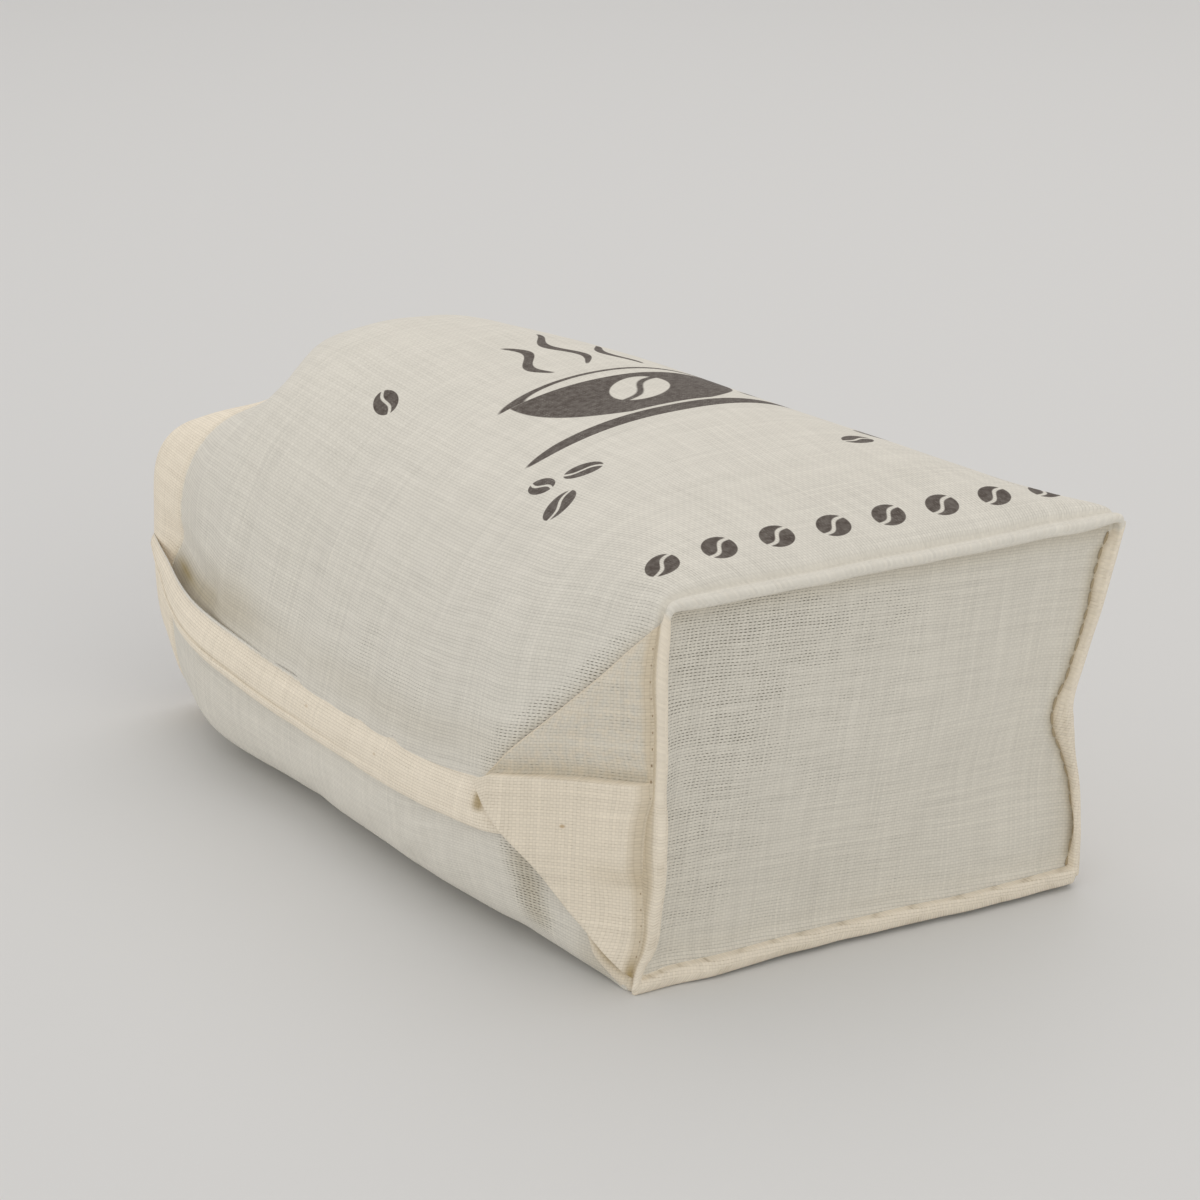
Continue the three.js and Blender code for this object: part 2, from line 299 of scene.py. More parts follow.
# The seam bands. wide: width of the band. swing: how far it stands out from hanging straight down, in
# degrees. lift: how far its upper edge stands off the cloth. edge and thick: how thick its upper edge and its
# body are.
BANDS = Table(
    "y wide swing lift edge thick",
    (19, 8.8, 8, -0.04, 0.05, 0.5),
    (24, 9.2, 9, -0.06, 0.05, 0.55),
    (29, 9.2, 9, -0.1, 0.05, 0.95),
    (45, 8.9, 10, -0.25, 0.05, 1.0),
    (85, 8.8, 11, -0.25, 0.05, 1.0),
    (108, 8.6, 13, -0.05, 0.1, 1.0),
    (125, 7.6, 16, 0.6, 0.4, 0.95),
    (138, 6.2, 18, 0.9, 0.6, 0.9),
    (148, 4.4, 17, 0.6, 0.6, 0.75),
    (156.4, 2.4, 14, 0.1, 0.45, 0.55),
)

# How far above the seam a band starts, how far it falls near the flap, where across it its thread runs, from
# where on its loops lie closer, and how layered it looks.
BAND_ROOT = 1.2
BAND_DROP = 1.6
BAND_GROOVE = 0.78
BAND_FINE = 108.0
BAND_LAYERS = 1.12

# The hem at the mouth: its row of stitches in a trough, its thickness and its rounded edge.
HEM_ROW = 146.0
HEM_EASE = 0.8
HEM_RAISE = 0.3
HEM_TROUGH = 0.35
HEM_THICKNESS = 1.5
HEM_ROUND = 0.8
HEM_LAYERS = 1.15
CLOTH_THICKNESS = 0.7
INNER_START = RIM_DEPTH + CLOTH_THICKNESS + 0.3

# How far the base and the bands lie from the wall in the cloth's coordinates, and how far the base's threads
# are out of square with it.
BASE_MAP = 200.0
BAND_MAP = 40.0
BASE_SKEW = 0.07

# How finely the cloth is drawn.
SIDE_STEPS = 32
FACE_STEPS = 42
CROWDING = 1.6
CURVE_SAMPLES = 160


def smooth(value, low, high):
    """0 below low, 1 above high, eased between them."""
    t = np.clip((value - low) / (high - low), 0.0, 1.0)
    return t * t * (3 - 2 * t)


def bell(value, middle, wide):
    """1 at the middle, falling away on both sides."""
    return np.exp(-(((value - middle) / wide) ** 2))


def wrapped(gap):
    """A distance round the girth, taken the short way."""
    return gap - GIRTH * np.round(gap / GIRTH)


def section_at(y):
    """The columns of the cross section at a distance y from the rim."""
    section = {name: float(SECTIONS.at(name, y)) for name in SECTIONS.names[1:]}
    section["dip"] = LIP_DIP * min(max((y - LIP_START) / (LENGTH - LIP_START), 0.0), 1.0) ** 2
    return section


def bumps(table, around, along):
    """The sum of a table's soft bumps, at places round the girth and along the bag, or on the base panel."""
    total = np.zeros(np.broadcast(around, along).shape)
    for place, distance, wide, long, amount in table.rows:
        total = total + amount * bell(wrapped(around - place), 0.0, wide) * bell(along, distance, long)
    return total


def creases(around, along):
    """Depth of the soft troughs and ridges, at places round the girth and along the bag."""
    depth = np.zeros(np.broadcast(around, along).shape)
    for place, distance, to_place, to_distance, wide, deep in CREASES.rows:
        run = np.array((wrapped(to_place - place), to_distance - distance))
        gap_around = wrapped(around - place)
        gap_along = along - distance
        share = np.clip((gap_around * run[0] + gap_along * run[1]) / (run @ run), 0.0, 1.0)
        apart = np.hypot(gap_around - share * run[0], gap_along - share * run[1])
        depth = depth + deep * bell(apart, 0.0, wide)
    return depth


def seam_gap(around):
    """Distance round the girth to the nearer side seam."""
    return np.abs(around - HALF_GIRTH * np.round(around / HALF_GIRTH))


def flap_reach(y):
    """Half the height of a corner flap at a distance from the rim, and what share of its length that is."""
    share = (y - FLAP_ROOT) / (FLAP_TIP - FLAP_ROOT)
    return FLAP_REACH + (FLAP_TIP_REACH - FLAP_REACH) * share, share


def flap_edges(y):
    """Heights of a corner flap's upper and lower edge at a distance from the rim, and what share of its
    length that is."""
    reach, share = flap_reach(y)
    reach = max(reach, 0.3)
    bow = math.sin(math.pi * min(max(share, 0.0), 1.0))
    middle = BASE_HEIGHT / 2 - FLAP_DROP * share
    return middle + reach + FLAP_ARCH * bow, middle - reach - FLAP_BOW * bow, share


def beside_flap(around, y):
    """1 where a corner flap lies on the cloth at a distance from the rim, 0 above and below it."""
    reach, _ = flap_reach(y)
    return 1 - smooth(seam_gap(around), reach - FLAP_EASE, reach + FLAP_EASE)


def rim_trough(y):
    """Depth of the soft groove beside a short rim's stitches."""
    return RIM_TROUGH * bell(y, RIM_ROW - 0.35, 0.55)


def relief(around, along):
    """How far the cloth lies inside its drawn section, at girth positions and a distance from the rim."""
    depth = creases(around, along)
    for table in (HOLLOWS, FALLS, EARS):
        depth = depth + bumps(table, around, along)
    beside = beside_flap(around, along)
    pinched = 1 - smooth(along, RIM_ROW - 0.3, RIM_ROW + 0.4)
    depth = depth + beside * (rim_trough(along) - FLAP_PROUD * pinched)
    reach, _ = flap_reach(along)
    pressed = smooth(along, RIM_ROW + 0.3, RIM_ROW + 1.5)
    depth = depth + FLAP_PRESS * pressed * (1 - smooth(seam_gap(around), reach - 3.4, reach - 1.0))
    depth = depth + ROLL_VALLEY * (1 - beside) * bell(along, ROLL_BACK, ROLL_WIDE)
    hem = smooth(along, HEM_ROW - HEM_EASE, HEM_ROW + HEM_EASE)
    return depth - HEM_RAISE * hem + HEM_TROUGH * bell(along, HEM_ROW, HEM_EASE)


def quarter_points(section, side, up, shares, inset_across, inset_up):
    """Points (x, z) of a quarter of a section, from a side seam to the middle of the front or the back."""
    round_ = section["keel"] if up < 0 else section["left"] if side < 0 else section["right"]
    height = section["top"] - section["seam"] if up > 0 else section["seam"] + SETTLE
    angle = np.linspace(0, math.pi / 2, CURVE_SAMPLES + 1)
    across = np.cos(angle).clip(0) ** round_
    across[-1] = 0.0
    rise = np.sin(angle) ** round_
    sag = section["dip"] * (1 - across * across) ** 2 if up > 0 else 0.0
    z = np.maximum(section["seam"] + up * (height - inset_up) * rise - sag, inset_up if up < 0 else 0.0)
    leaning = section["shift"] + section["lean"] * z / BASE_HEIGHT
    x = leaning + side * (section["half"] - inset_across) * across
    lengths = np.concatenate(((0.0,), np.cumsum(np.hypot(np.diff(x), np.diff(z)))))
    target = shares * lengths[-1]
    return np.stack((np.interp(target, lengths, x), np.interp(target, lengths, z)), 1)


def quarter_shares():
    """Shares of a quarter's length, crowded at the base's corner."""
    corner = CORNER / QUARTER_GIRTH
    side = corner * (1 - (1 - np.arange(SIDE_STEPS) / SIDE_STEPS) ** CROWDING)
    face = corner + (1 - corner) * (np.arange(FACE_STEPS) / FACE_STEPS) ** CROWDING
    return np.concatenate((side, face))


SHARES = quarter_shares()
BACK_SHARES = np.concatenate(((1.0,), SHARES[:0:-1]))
QUARTERS = ((-1, 1, False), (1, 1, True), (1, -1, False), (-1, -1, True))
AROUND = QUARTER_GIRTH * np.concatenate(
    [index + (1 - BACK_SHARES if back else SHARES) for index, (_, _, back) in enumerate(QUARTERS)]
)


def ring_xz(y, inset=0.0, rim=0.0):
    """The whole ring of the cloth at a distance y as points (x, z), and the way inwards at each. inset draws
    it inside the outer face, and rim draws it in by that share of the rim's own thicknesses."""
    section = section_at(y)
    parts = []
    for side, up, back in QUARTERS:
        inset_across = inset + rim * (RIM_LEFT if side < 0 else RIM_RIGHT)
        inset_up = inset + rim * (RIM_TOP if up > 0 else RIM_BOTTOM)
        shares = BACK_SHARES if back else SHARES
        parts.append(quarter_points(section, side, up, shares, inset_across, inset_up))
    points = np.concatenate(parts)
    middle = np.array((section["shift"] + section["lean"] / 2, section["seam"]))
    inward = middle - points
    return points, inward / np.linalg.norm(inward, axis=1)[:, None]


def lifted(points):
    """The rim's lower edge bows up off the table, away from its left corner."""
    x, y, z = points.T
    points[:, 2] = z + RIM_LIFT * smooth(x, -44.0, -12.0) * bell(y, 0.0, 5.0) * bell(z, 0.0, 5.0)
    return points


def cloth_ring(y, inset=0.0, rim=0.0, place=None, depth=None):
    """A ring of the cloth with its relief, as points in the drawing. place puts it elsewhere along Y, and
    depth is a relief of its own."""
    points, inward = ring_xz(y, inset, rim)
    sunk = relief(AROUND, y) if depth is None else depth
    points = points + inward * sunk[:, None]
    points[:, 1] = np.maximum(points[:, 1], inset)
    along = np.broadcast_to(y if place is None else place, AROUND.shape)
    ring = np.stack((points[:, 0], along, points[:, 1]), 1)
    return lifted(ring)


def side_x(y, z, side):
    """Where the outer face of the cloth lies at heights z on one side, -1 left or 1 right."""
    section = section_at(y)
    above = z >= section["seam"]
    round_ = np.where(above, section["left" if side < 0 else "right"], section["keel"])
    height = np.where(above, section["top"] - section["seam"], section["seam"] + SETTLE)
    rise = np.abs(z - section["seam"]) / height
    across = np.maximum(0.0, 1 - rise ** (2 / round_)) ** (round_ / 2)
    girth = z - section["seam"]
    around = girth if side < 0 else HALF_GIRTH - girth
    hollow = bumps(HOLLOWS, around, y) + bumps(FALLS, around, y)
    return section["shift"] + section["lean"] * z / BASE_HEIGHT + side * (section["half"] * across - hollow)


# Meshes


def signed_volume(points, faces):
    """Volume inside a closed mesh of triangles and quads, negative if its faces point inwards."""
    total = 0.0
    for face in faces:
        a = points[face[0]]
        for b, c in zip(face[1:-1], face[2:]):
            total += a @ np.cross(points[b], points[c])
    return total / 6


def linked(name, data):
    """A new object in the scene."""
    made = bpy.data.objects.new(name, data)
    bpy.context.scene.collection.objects.link(made)
    return made


def end_faces(count, narrow):
    """Faces that close a loop of points, by their places in it. A narrow end is closed from side to side, and
    any other one round a point in its middle, which has the place after the loop's last."""
    if narrow:
        near = np.arange(count // 2 - 1)
        return np.stack((near + 1, near, count - 1 - near, count - 2 - near), -1)
    near = np.arange(count)
    return np.stack((np.full(count, count + 1), near + 1, near), -1)


def loft(name, loops, strip_maps, values, finish, narrow=False):
    """A closed body through loops of equal counts. strip_maps holds the cloth coordinates of the two loops
    beside each strip, one column more than the loops have."""
    rows, count, _ = loops.shape
    points = np.concatenate((loops.reshape(-1, 3), loops[:1].mean(1), loops[-1:].mean(1)))
    if narrow:
        points = points[:-2]
    at = np.arange(rows * count).reshape(rows, count)
    at = np.concatenate((at, at[:, :1]), 1)
    first = np.append(at[0], rows * count)
    last = np.append(at[-1], rows * count + 1)
    quads = np.stack((at[:-1, :-1], at[:-1, 1:], at[1:, 1:], at[1:, :-1]), -1).reshape(-1, 4)
    ends = end_faces(count, narrow)
    faces = quads.tolist() + first[ends].tolist() + last[ends[:, ::-1]].tolist()
    low, high = strip_maps[:, 0], strip_maps[:, 1]
    quad_maps = np.stack((low[:, :-1], low[:, 1:], high[:, 1:], high[:, :-1]), 2).reshape(-1, 2)
    first_maps = np.concatenate((low[0], low[:1, :-1].mean(1)))[ends].reshape(-1, 2)
    last_maps = np.concatenate((high[-1], high[-1:, :-1].mean(1)))[ends[:, ::-1]].reshape(-1, 2)
    maps = np.concatenate((quad_maps, first_maps, last_maps))
    inside_out = signed_volume(points, faces) < 0
    mesh = bpy.data.meshes.new(name)
    mesh.from_pydata(((points - ORIGIN) * MM).tolist(), [], faces)
    layer = mesh.uv_layers.new(name="cloth")
    layer.data.foreach_set("uv", maps.astype(np.float32).ravel())
    for key, rows_of_values in values.items():
        attribute = mesh.attributes.new(key, "FLOAT", "POINT")
        inner = np.broadcast_to(rows_of_values, (rows, count)).reshape(-1)
        middles = (inner[:count].mean(), inner[-count:].mean())
        at_points = np.concatenate((inner, middles))[:len(points)]
        attribute.data.foreach_set("value", at_points.astype(np.float32))
    if inside_out:
        mesh.flip_normals()
    mesh.shade_smooth()
    mesh.materials.append(finish)
    mesh.update()
    return linked(name, mesh)


def doubled(maps):
    """The cloth coordinates of each loop, as those of the two loops beside each strip."""
    return np.stack((maps[:-1], maps[1:]), 1)


# The bag's cloth


def base_places(points):
    """Places on the base panel, in millimetres from its middle, without its lean."""
    lean = SECTIONS.column("lean")[0]
    return points[:, 0] - lean * points[:, 2] / BASE_HEIGHT, points[:, 2] - BASE_HEIGHT / 2


def shrunk(edge, scale, depth, flat_from, flat_to):
    """A ring of the base panel, drawn in from its edge to a scale, at a depth behind the rim. Its waves die
    away between two scales."""
    middle = edge.mean(0)
    ring = middle + (edge - middle) * scale
    ring[:, 1] = depth + bumps(PANEL_WAVES, *base_places(ring)) * (1 - smooth(scale, flat_from, flat_to))
    return ring


def panel_rings(edge):
    """The base panel, from its middle to the foot of the rim."""
    rings = []
    for scale in np.concatenate((np.linspace(0.03, 0.9, 20), (0.93, 0.955, 0.975, 0.99, 1.0))):
        foot = smooth(scale, 0.95, 1.0)
        rings.append(shrunk(edge, scale, RIM_DEPTH - PANEL_FOOT * foot, 0.86, 0.99))
    return rings


def rim_wave():
    """How the rim's edge wanders along Y, round the base."""
    turn = 2 * math.pi * AROUND / GIRTH
    waves = 0.5 * np.sin(9 * turn + 0.6) + 0.35 * np.sin(17 * turn + 2.1) + 0.3 * np.sin(29 * turn)
    return RIM_WAVE * waves


def foot_moved(ring, share):
    """Moves the foot of the right rim inwards by a share of its wander."""
    right = 1 - smooth(np.abs(AROUND - HALF_GIRTH), 29.0, 31.5)
    ring[:, 0] -= share * right * FIN.at("foot", ring[:, 2])
    return ring


def rim_foot(place):
    """The ring where the rim's inner face meets the base panel, at a distance from the rim's edge."""
    return foot_moved(cloth_ring(0.0, rim=1.0, place=place, depth=bumps(HOLLOWS, AROUND, 0.0)), 1.0)


def rim_shaped(points):
    """Points near the base with its rims in their own shapes: the left one bowed, the right one standing out,
    the lower one bulging forwards and the upper one raised a little."""
    x, y, z = points.T.copy()
    level = x - SECTIONS.column("lean")[0] * z / BASE_HEIGHT
    left = smooth(-level, *SHORT_RIMS)
    right = smooth(level, *SHORT_RIMS)
    row = smooth(y, 0.4, RIM_ROW) * (1 - smooth(y, RIM_ROW, RIM_ROW + 9.0))
    forward = left * (RIM_BOW.at("forward", z) * (1 - smooth(y, 4.0, 13.0)) - RIM_BOW.at("row", z) * row)
    outward = right * FIN.at("outward", z) * (1 - smooth(y, 2.0, 9.0))
    bulge = RIM_BULGE.at("forward", level) * (1 - smooth(z, 4.0, 26.0)) * (1 - smooth(y, 6.0, 20.0))
    raised = RIM_RAISE * smooth(z, 57.0, 62.0) * (1 - smooth(y, 3.0, 10.0))
    return np.stack((x + RIM_SLOPE * forward + outward, y - forward - bulge, z + raised), 1)


def rim_rings():
    """The rim, from the foot of its inner face over its tip, as rings up to where the wall begins."""
    wave = rim_wave()
    inner_depth = bumps(HOLLOWS, AROUND, 0.0) + bumps(EARS, AROUND, 0.0)
    foot = RIM_DEPTH - 0.9
    rings = []
    for y in np.linspace(foot, RIM_TIP, 5)[:-1]:
        ring = cloth_ring(0.0, rim=1.0, place=y + wave * (1 - y / RIM_DEPTH), depth=inner_depth)
        rings.append(foot_moved(ring, (y - RIM_TIP) / (foot - RIM_TIP)))
    edge = RIM_TIP + wave * WAVE_SHARE
    inner = cloth_ring(0.0, rim=1.0, place=edge, depth=inner_depth)
    outer = cloth_ring(RIM_TIP, place=edge, depth=relief(AROUND, 0.0))
    for angle in np.linspace(0, math.pi, 9):
        ring = inner + (outer - inner) * (1 - math.cos(angle)) / 2
        ring[:, 1] = edge + ((1 - WAVE_SHARE) * wave - RIM_TIP) * math.sin(angle)
        rings.append(ring)
    return rings


def wall_places():
    """Distances from the rim of the wall's outer rows, close together at the rim and the hem."""
    stretches = ((RIM_TIP, 5.4, 18), (5.4, 143.0, 110), (143.0, LENGTH - HEM_ROUND, 24))
    return np.concatenate([np.linspace(*stretch)[1:] for stretch in stretches])


def upward():
    """Distance round the girth from the nearer seam, counted upwards over the front and negative below."""
    gap = seam_gap(AROUND)
    return np.where((AROUND >= 0) & (AROUND < HALF_GIRTH), gap, -gap)


def rim_layers(y):
    """How many layers the rim shows at a distance from its edge: most at the sides, least on top."""
    beside = beside_flap(AROUND, y) * (1 - smooth(y, RIM_ROW + 0.2, RIM_ROW + 1.4))
    top = smooth(upward(), 29.5, 31.5)
    return np.maximum(beside, (1 - smooth(y, 1.0, 1.8)) * (1 - 0.7 * top))


def wall_rows():
    """The outer wall, from the rim to the edge of the hem."""
    wave = rim_wave()
    rows = []
    for y in wall_places():
        ring = cloth_ring(y)
        ring[:, 1] += wave * WAVE_SHARE * (1 - smooth(y, RIM_TIP, 6.0))
        hem = HEM_LAYERS * smooth(y, HEM_ROW - 0.6, HEM_ROW + 0.6)
        rows.append((ring, y, np.maximum(rim_layers(y), hem)))
    return rows


def hem_rows(edge):
    """The hem's rounded edge, from the last ring of the outer wall to the inner wall."""
    start = LENGTH - HEM_ROUND
    inner_edge = cloth_ring(start, inset=HEM_THICKNESS)
    rows = []
    for angle in np.linspace(0, math.pi, 7)[1:]:
        ring = edge + (inner_edge - edge) * (1 - math.cos(angle)) / 2
        ring[:, 1] = start + HEM_ROUND * math.sin(angle)
        rows.append((ring, LENGTH, np.full(len(AROUND), HEM_LAYERS)))
    return rows


def inner_rows():
    """The inner wall, from the hem back to the inside of the base."""
    rows = []
    for y in np.linspace(LENGTH - HEM_ROUND, INNER_START, 56)[1:]:
        hem = smooth(y, HEM_ROW - 1.0, HEM_ROW + 0.2)
        inset = CLOTH_THICKNESS + (HEM_THICKNESS - CLOTH_THICKNESS) * hem
        depth = np.maximum(relief(AROUND, y), -FLAP_PROUD * 0.5)
        rows.append((cloth_ring(y, inset=inset, depth=depth), y, np.full(len(AROUND), hem)))
    return rows


# How many rows of the rim's tip and of the hem's edge have the wall's cloth coordinates.
TIP_ROWS = 5
HEM_EDGE_ROWS = 3


def body_cloth():
    """The bag's cloth as loops, with their distances from the rim and their layers: base panel, rim, outer
    wall, hem, inner wall and the inside of the base. The last value counts the loops of the panel, those with
    the base's cloth coordinates, and those as far as the outer wall goes."""
    bare = np.zeros(len(AROUND))
    rows = [(ring, 0.0, bare) for ring in panel_rings(rim_foot(RIM_DEPTH))]
    panel_rows = len(rows)
    rows += [(ring, 0.0, rim_layers(FLAP_ROOT)) for ring in rim_rings()]
    base_rows = len(rows) - TIP_ROWS
    rows += wall_rows()
    outer_rows = len(rows)
    rows += hem_rows(rows[-1][0])
    rows += inner_rows()
    inner_edge = rows[-1][0]
    for scale in (0.97, 0.9, 0.75, 0.55, 0.35, 0.15, 0.04):
        rows.append((shrunk(inner_edge, scale, INNER_START, 0.8, 0.97), INNER_START, bare))
    rings, places, layers = zip(*rows)
    loops = np.array([rim_shaped(ring) for ring in rings])
    return loops, np.array(places), np.array(layers), (panel_rows, base_rows, outer_rows)


# Where the filling lies off the cloth and its pinholes show dark, with the shade of the bag's inside painted
# into them; below 0 the weave is fainter. On the wall, by girth and distance.
WALL_SHEER = Table(
    "around along wide long amount",
    (38, 10, 10, 8, 0.25),
    (9, 50, 5, 18, 0.25),
    (10, 85, 7, 24, 0.2),
    (8, 132, 8, 16, 0.3),
    (-12.5, 22, 3.2, 2.6, 1.5),
    (-16.5, 21, 3.2, 2.6, 1.8),
    (-20.5, 20.4, 3.2, 2.6, 1.8),
    (-25, 19.6, 2.8, 2.4, 1.4),
    (-26, 36, 8, 12, 0.2),
    (120, 20, 12, 14, 0.6),
    (90, 12, 20, 8, 0.25),
    (80, 70, 40, 45, -0.65),
    (60, 125, 40, 25, -0.6),
    (-18, 78, 14, 40, -0.9),
)

# The same on the front beside the flaps' upper edges, by distance.
EDGE_SHEER = Table(
    "y amount",
    (2, 0),
    (5, 0.6),
    (9, 1.9),
    (13, 1.7),
    (17, 1.4),
    (22, 1.8),
    (27, 1.8),
    (31, 0.3),
    (35, 0),
)

# The same on the base panel, in millimetres from its middle.
BASE_SHEER = Table(
    "x z wide tall amount",
    (-34, 20, 14, 12, 0.9),
    (-22, 25, 24, 7, 0.7),
    (-36, -6, 9, 18, 0.75),
    (-12, 6, 20, 18, 0.35),
    (20, 24, 18, 6, 0.2),
    (36, -4, 6, 20, 0.1),
    (8, -22, 26, 7, 0.2),
    (32, 0, 20, 40, -0.5),
)

# Where little light reaches into the folds. On the wall, by girth and distance.
WALL_SHADE = Table(
    "around along wide long amount",
    (1.3, 139, 1.4, 7, 1.0),
    (2.0, 127, 1.9, 8, 0.5),
    (4.5, 116, 4.5, 10, 0.26),
    (5.5, 122, 4.5, 14, 0.1),
    (4.5, 60, 3.6, 50, 0.14),
    (-14.5, 21.6, 3.4, 2.4, 0.35),
    (-20, 20.5, 3.4, 2.4, 0.4),
    (-25, 19.6, 2.8, 2.2, 0.3),
    (-29, 8, 4, 4, 0.3),
)

# How much shade is painted on the right rim's foot, in the short rims' grooves, in the valley behind the
# upper roll and on the cloth at the flaps' upper edges.
FOOT_SHADE = 0.5
RIM_SHADE = 0.5
ROLL_SHADE = 0.14
EDGE_SHADE = 0.2


def wall_values(y):
    """How sheer the wall looks and how much shade is painted into its folds, at a distance from the rim."""
    over = upward()
    front = over > 0
    beside = beside_flap(AROUND, y)
    groove = beside * smooth(y, 0.9, 1.4) * (1 - smooth(y, RIM_ROW, RIM_ROW + 0.5))
    roll = (1 - beside) * front * bell(y, ROLL_BACK, ROLL_WIDE)
    top = flap_edges(y)[0] - float(SECTIONS.at("seam", y))
    by_flap = front * bell(over, max(top, 0.0) + 1.5, 2.6)
    edge = bell(over, top, 1.3) * (1 - smooth(y, 24.0, 28.0)) * smooth(y, 3.0, 6.0)
    sheer = bumps(WALL_SHEER, AROUND, y) + EDGE_SHEER.at("amount", y) * by_flap
    sheer = sheer - 2 * (1 - smooth(y, 1.2, 3.4)) * front
    shade = bumps(WALL_SHADE, AROUND, y) + RIM_SHADE * groove + ROLL_SHADE * roll + EDGE_SHADE * edge
    return sheer, shade


def body_values(loops, places, layers, panel_rows, outer_rows):
    """How many layers the cloth has, how sheer it looks and how much shade is painted on it, at each point.
    """
    sheer = np.zeros(layers.shape)
    shade = np.zeros(layers.shape)
    foot = FOOT_SHADE * (1 - smooth(np.abs(AROUND - HALF_GIRTH), 28.0, 31.0))
    for row in range(panel_rows):
        x, z = base_places(loops[row])
        sheer[row] = bumps(BASE_SHEER, x, z)
        # Painted shade on the base panel: a little all over in its recess, darker towards its bottom, a soft
        # shadow under the upper roll, and the right rim's foot.
        shade[row] = 0.04 + 0.04 * smooth(-z, 0.0, 20.0) + 0.18 * smooth(z, 27.0, 30.6)
        shade[row] += foot * smooth(row, panel_rows - 4, panel_rows - 1)
    for row in range(panel_rows, outer_rows):
        sheer[row], shade[row] = wall_values(places[row])
    # The painted shade of the right rim's foot goes on up the rim's inner face.
    for step in range(3):
        shade[panel_rows + step] = np.maximum(shade[panel_rows + step], foot * (1 - 0.4 * step))
    return {"layers": layers, "sheer": np.clip(sheer, -1.0, 2.0), "shade": np.clip(shade, 0.0, 1.0)}


def body_maps(loops, places, base_rows, outer_rows):
    """Cloth coordinates in millimetres: girth and distance on the wall. The base's threads lie across it,
    apart from the wall's, and the inside lies apart from both."""
    around = np.append(AROUND, GIRTH)
    rows = len(loops)
    wall = np.zeros((rows, len(around), 2))
    wall[..., 0] = around
    wall[..., 1] = places[:, None]
    wall[outer_rows + HEM_EDGE_ROWS:, :, 0] += 2 * GIRTH
    base = np.zeros((rows, len(around), 2))
    for row in range(base_rows + 2):
        x, z = base_places(np.concatenate((loops[row], loops[row][:1])))
        base[row, :, 0] = z + BASE_SKEW * x - BASE_MAP
        base[row, :, 1] = x - BASE_SKEW * z
    strips = doubled(wall)
    strips[:base_rows] = doubled(base)[:base_rows]
    return strips


# The seam bands


# The slit under the left flap's tip, where the band's end goes in under it and shade is painted on the band.
SLIT_PLACE = 28.0
SLIT_LONG = 1.3


def band_profile():
    """The band's cross section in shares: places across its outer face from the upper edge to the free edge,
    how high the face and the thread's groove are there, and places back along its inner face."""
    fine = BAND_GROOVE + np.array((-0.06, -0.03, -0.015, 0.0, 0.015, 0.03, 0.06))
    across = np.concatenate((np.linspace(0, 0.68, 14), fine, (0.88, 0.92, 0.955, 0.98, 0.995, 1.0)))
    crown = 0.6 + 0.4 * smooth(across, 0.0, 0.5)
    edge = np.sqrt(np.clip(1 - ((across - 0.86) / 0.14).clip(0, 1) ** 2, 0, 1))
    back = np.array((0.97, 0.85, 0.65, 0.45, 0.25, 0.08))
    return across, crown * edge, bell(across, BAND_GROOVE, 0.03) * edge, back


def band_places():
    """Distances from the rim of a band's loops, closer together towards the mouth."""
    start, end = BANDS.rows[0, 0], BANDS.rows[-1, 0]
    return np.concatenate((np.linspace(start, BAND_FINE, 84), np.linspace(BAND_FINE, end, 60)[1:]))


def seam_band(side):
    """One seam band as loops round its cross section, from under the flap to the mouth, with its values."""
    across, crown, groove, back = band_profile()
    slit = smooth(across, 0.22, 0.36) * (1 - smooth(across, 0.55, 0.72)) * (side < 0)
    loops = []
    maps = []
    shades = []
    for y in band_places():
        swing = math.radians(BANDS.at("swing", y))
        wide = BANDS.at("wide", y)
        edge = BANDS.at("edge", y)
        root_z = float(SECTIONS.at("seam", y)) + BAND_ROOT - BAND_DROP * (1 - smooth(y, 30.0, 62.0))
        root_x = float(side_x(y, np.array(root_z), side)) + side * BANDS.at("lift", y)
        thick = edge + (BANDS.at("thick", y) - edge) * smooth(across, 0.0, 0.5)
        sewn = 0.15 + 0.85 * smooth(y, 60.0, 115.0)
        height = crown - 0.2 * sewn * groove
        waved = wide + 0.05 * math.sin(y / 3.1) + 0.03 * math.sin(y / 1.7 + 1.0)
        down = np.array((side * math.sin(swing), -math.cos(swing)))
        out = np.array((side * math.cos(swing), math.sin(swing)))
        face = np.outer(across * waved, down) + np.outer(thick * height, out)
        loop = np.concatenate((face, np.outer(back * waved, down))) + (root_x, root_z)
        loops.append(np.stack((loop[:, 0], np.full(len(loop), y), loop[:, 1]), 1))
        u = np.concatenate((across * wide, 2 * wide - back * wide, (2 * wide,)))
        maps.append(np.stack((u + side * BAND_MAP, np.full(len(u), y)), 1))
        # Painted shade on the band: in the slit under the left flap's tip, along its thread's groove, and on
        # its faces turned to the cloth.
        slit_shade = bell(y, SLIT_PLACE, SLIT_LONG) * slit
        shades.append(np.concatenate((np.maximum(slit_shade, 0.3 * sewn * groove), np.full(len(back), 0.3))))
    soft_edge = 0.2 + (BAND_LAYERS - 0.2) * smooth(across, 0.0, 0.18)
    loops = np.array(loops)
    layers = np.broadcast_to(np.concatenate((soft_edge, np.ones(len(back)))), loops.shape[:2])
    values = {"layers": layers, "sheer": np.zeros(loops.shape[:2]), "shade": np.array(shades)}
    return loops, np.array(maps), values


# The corner flaps


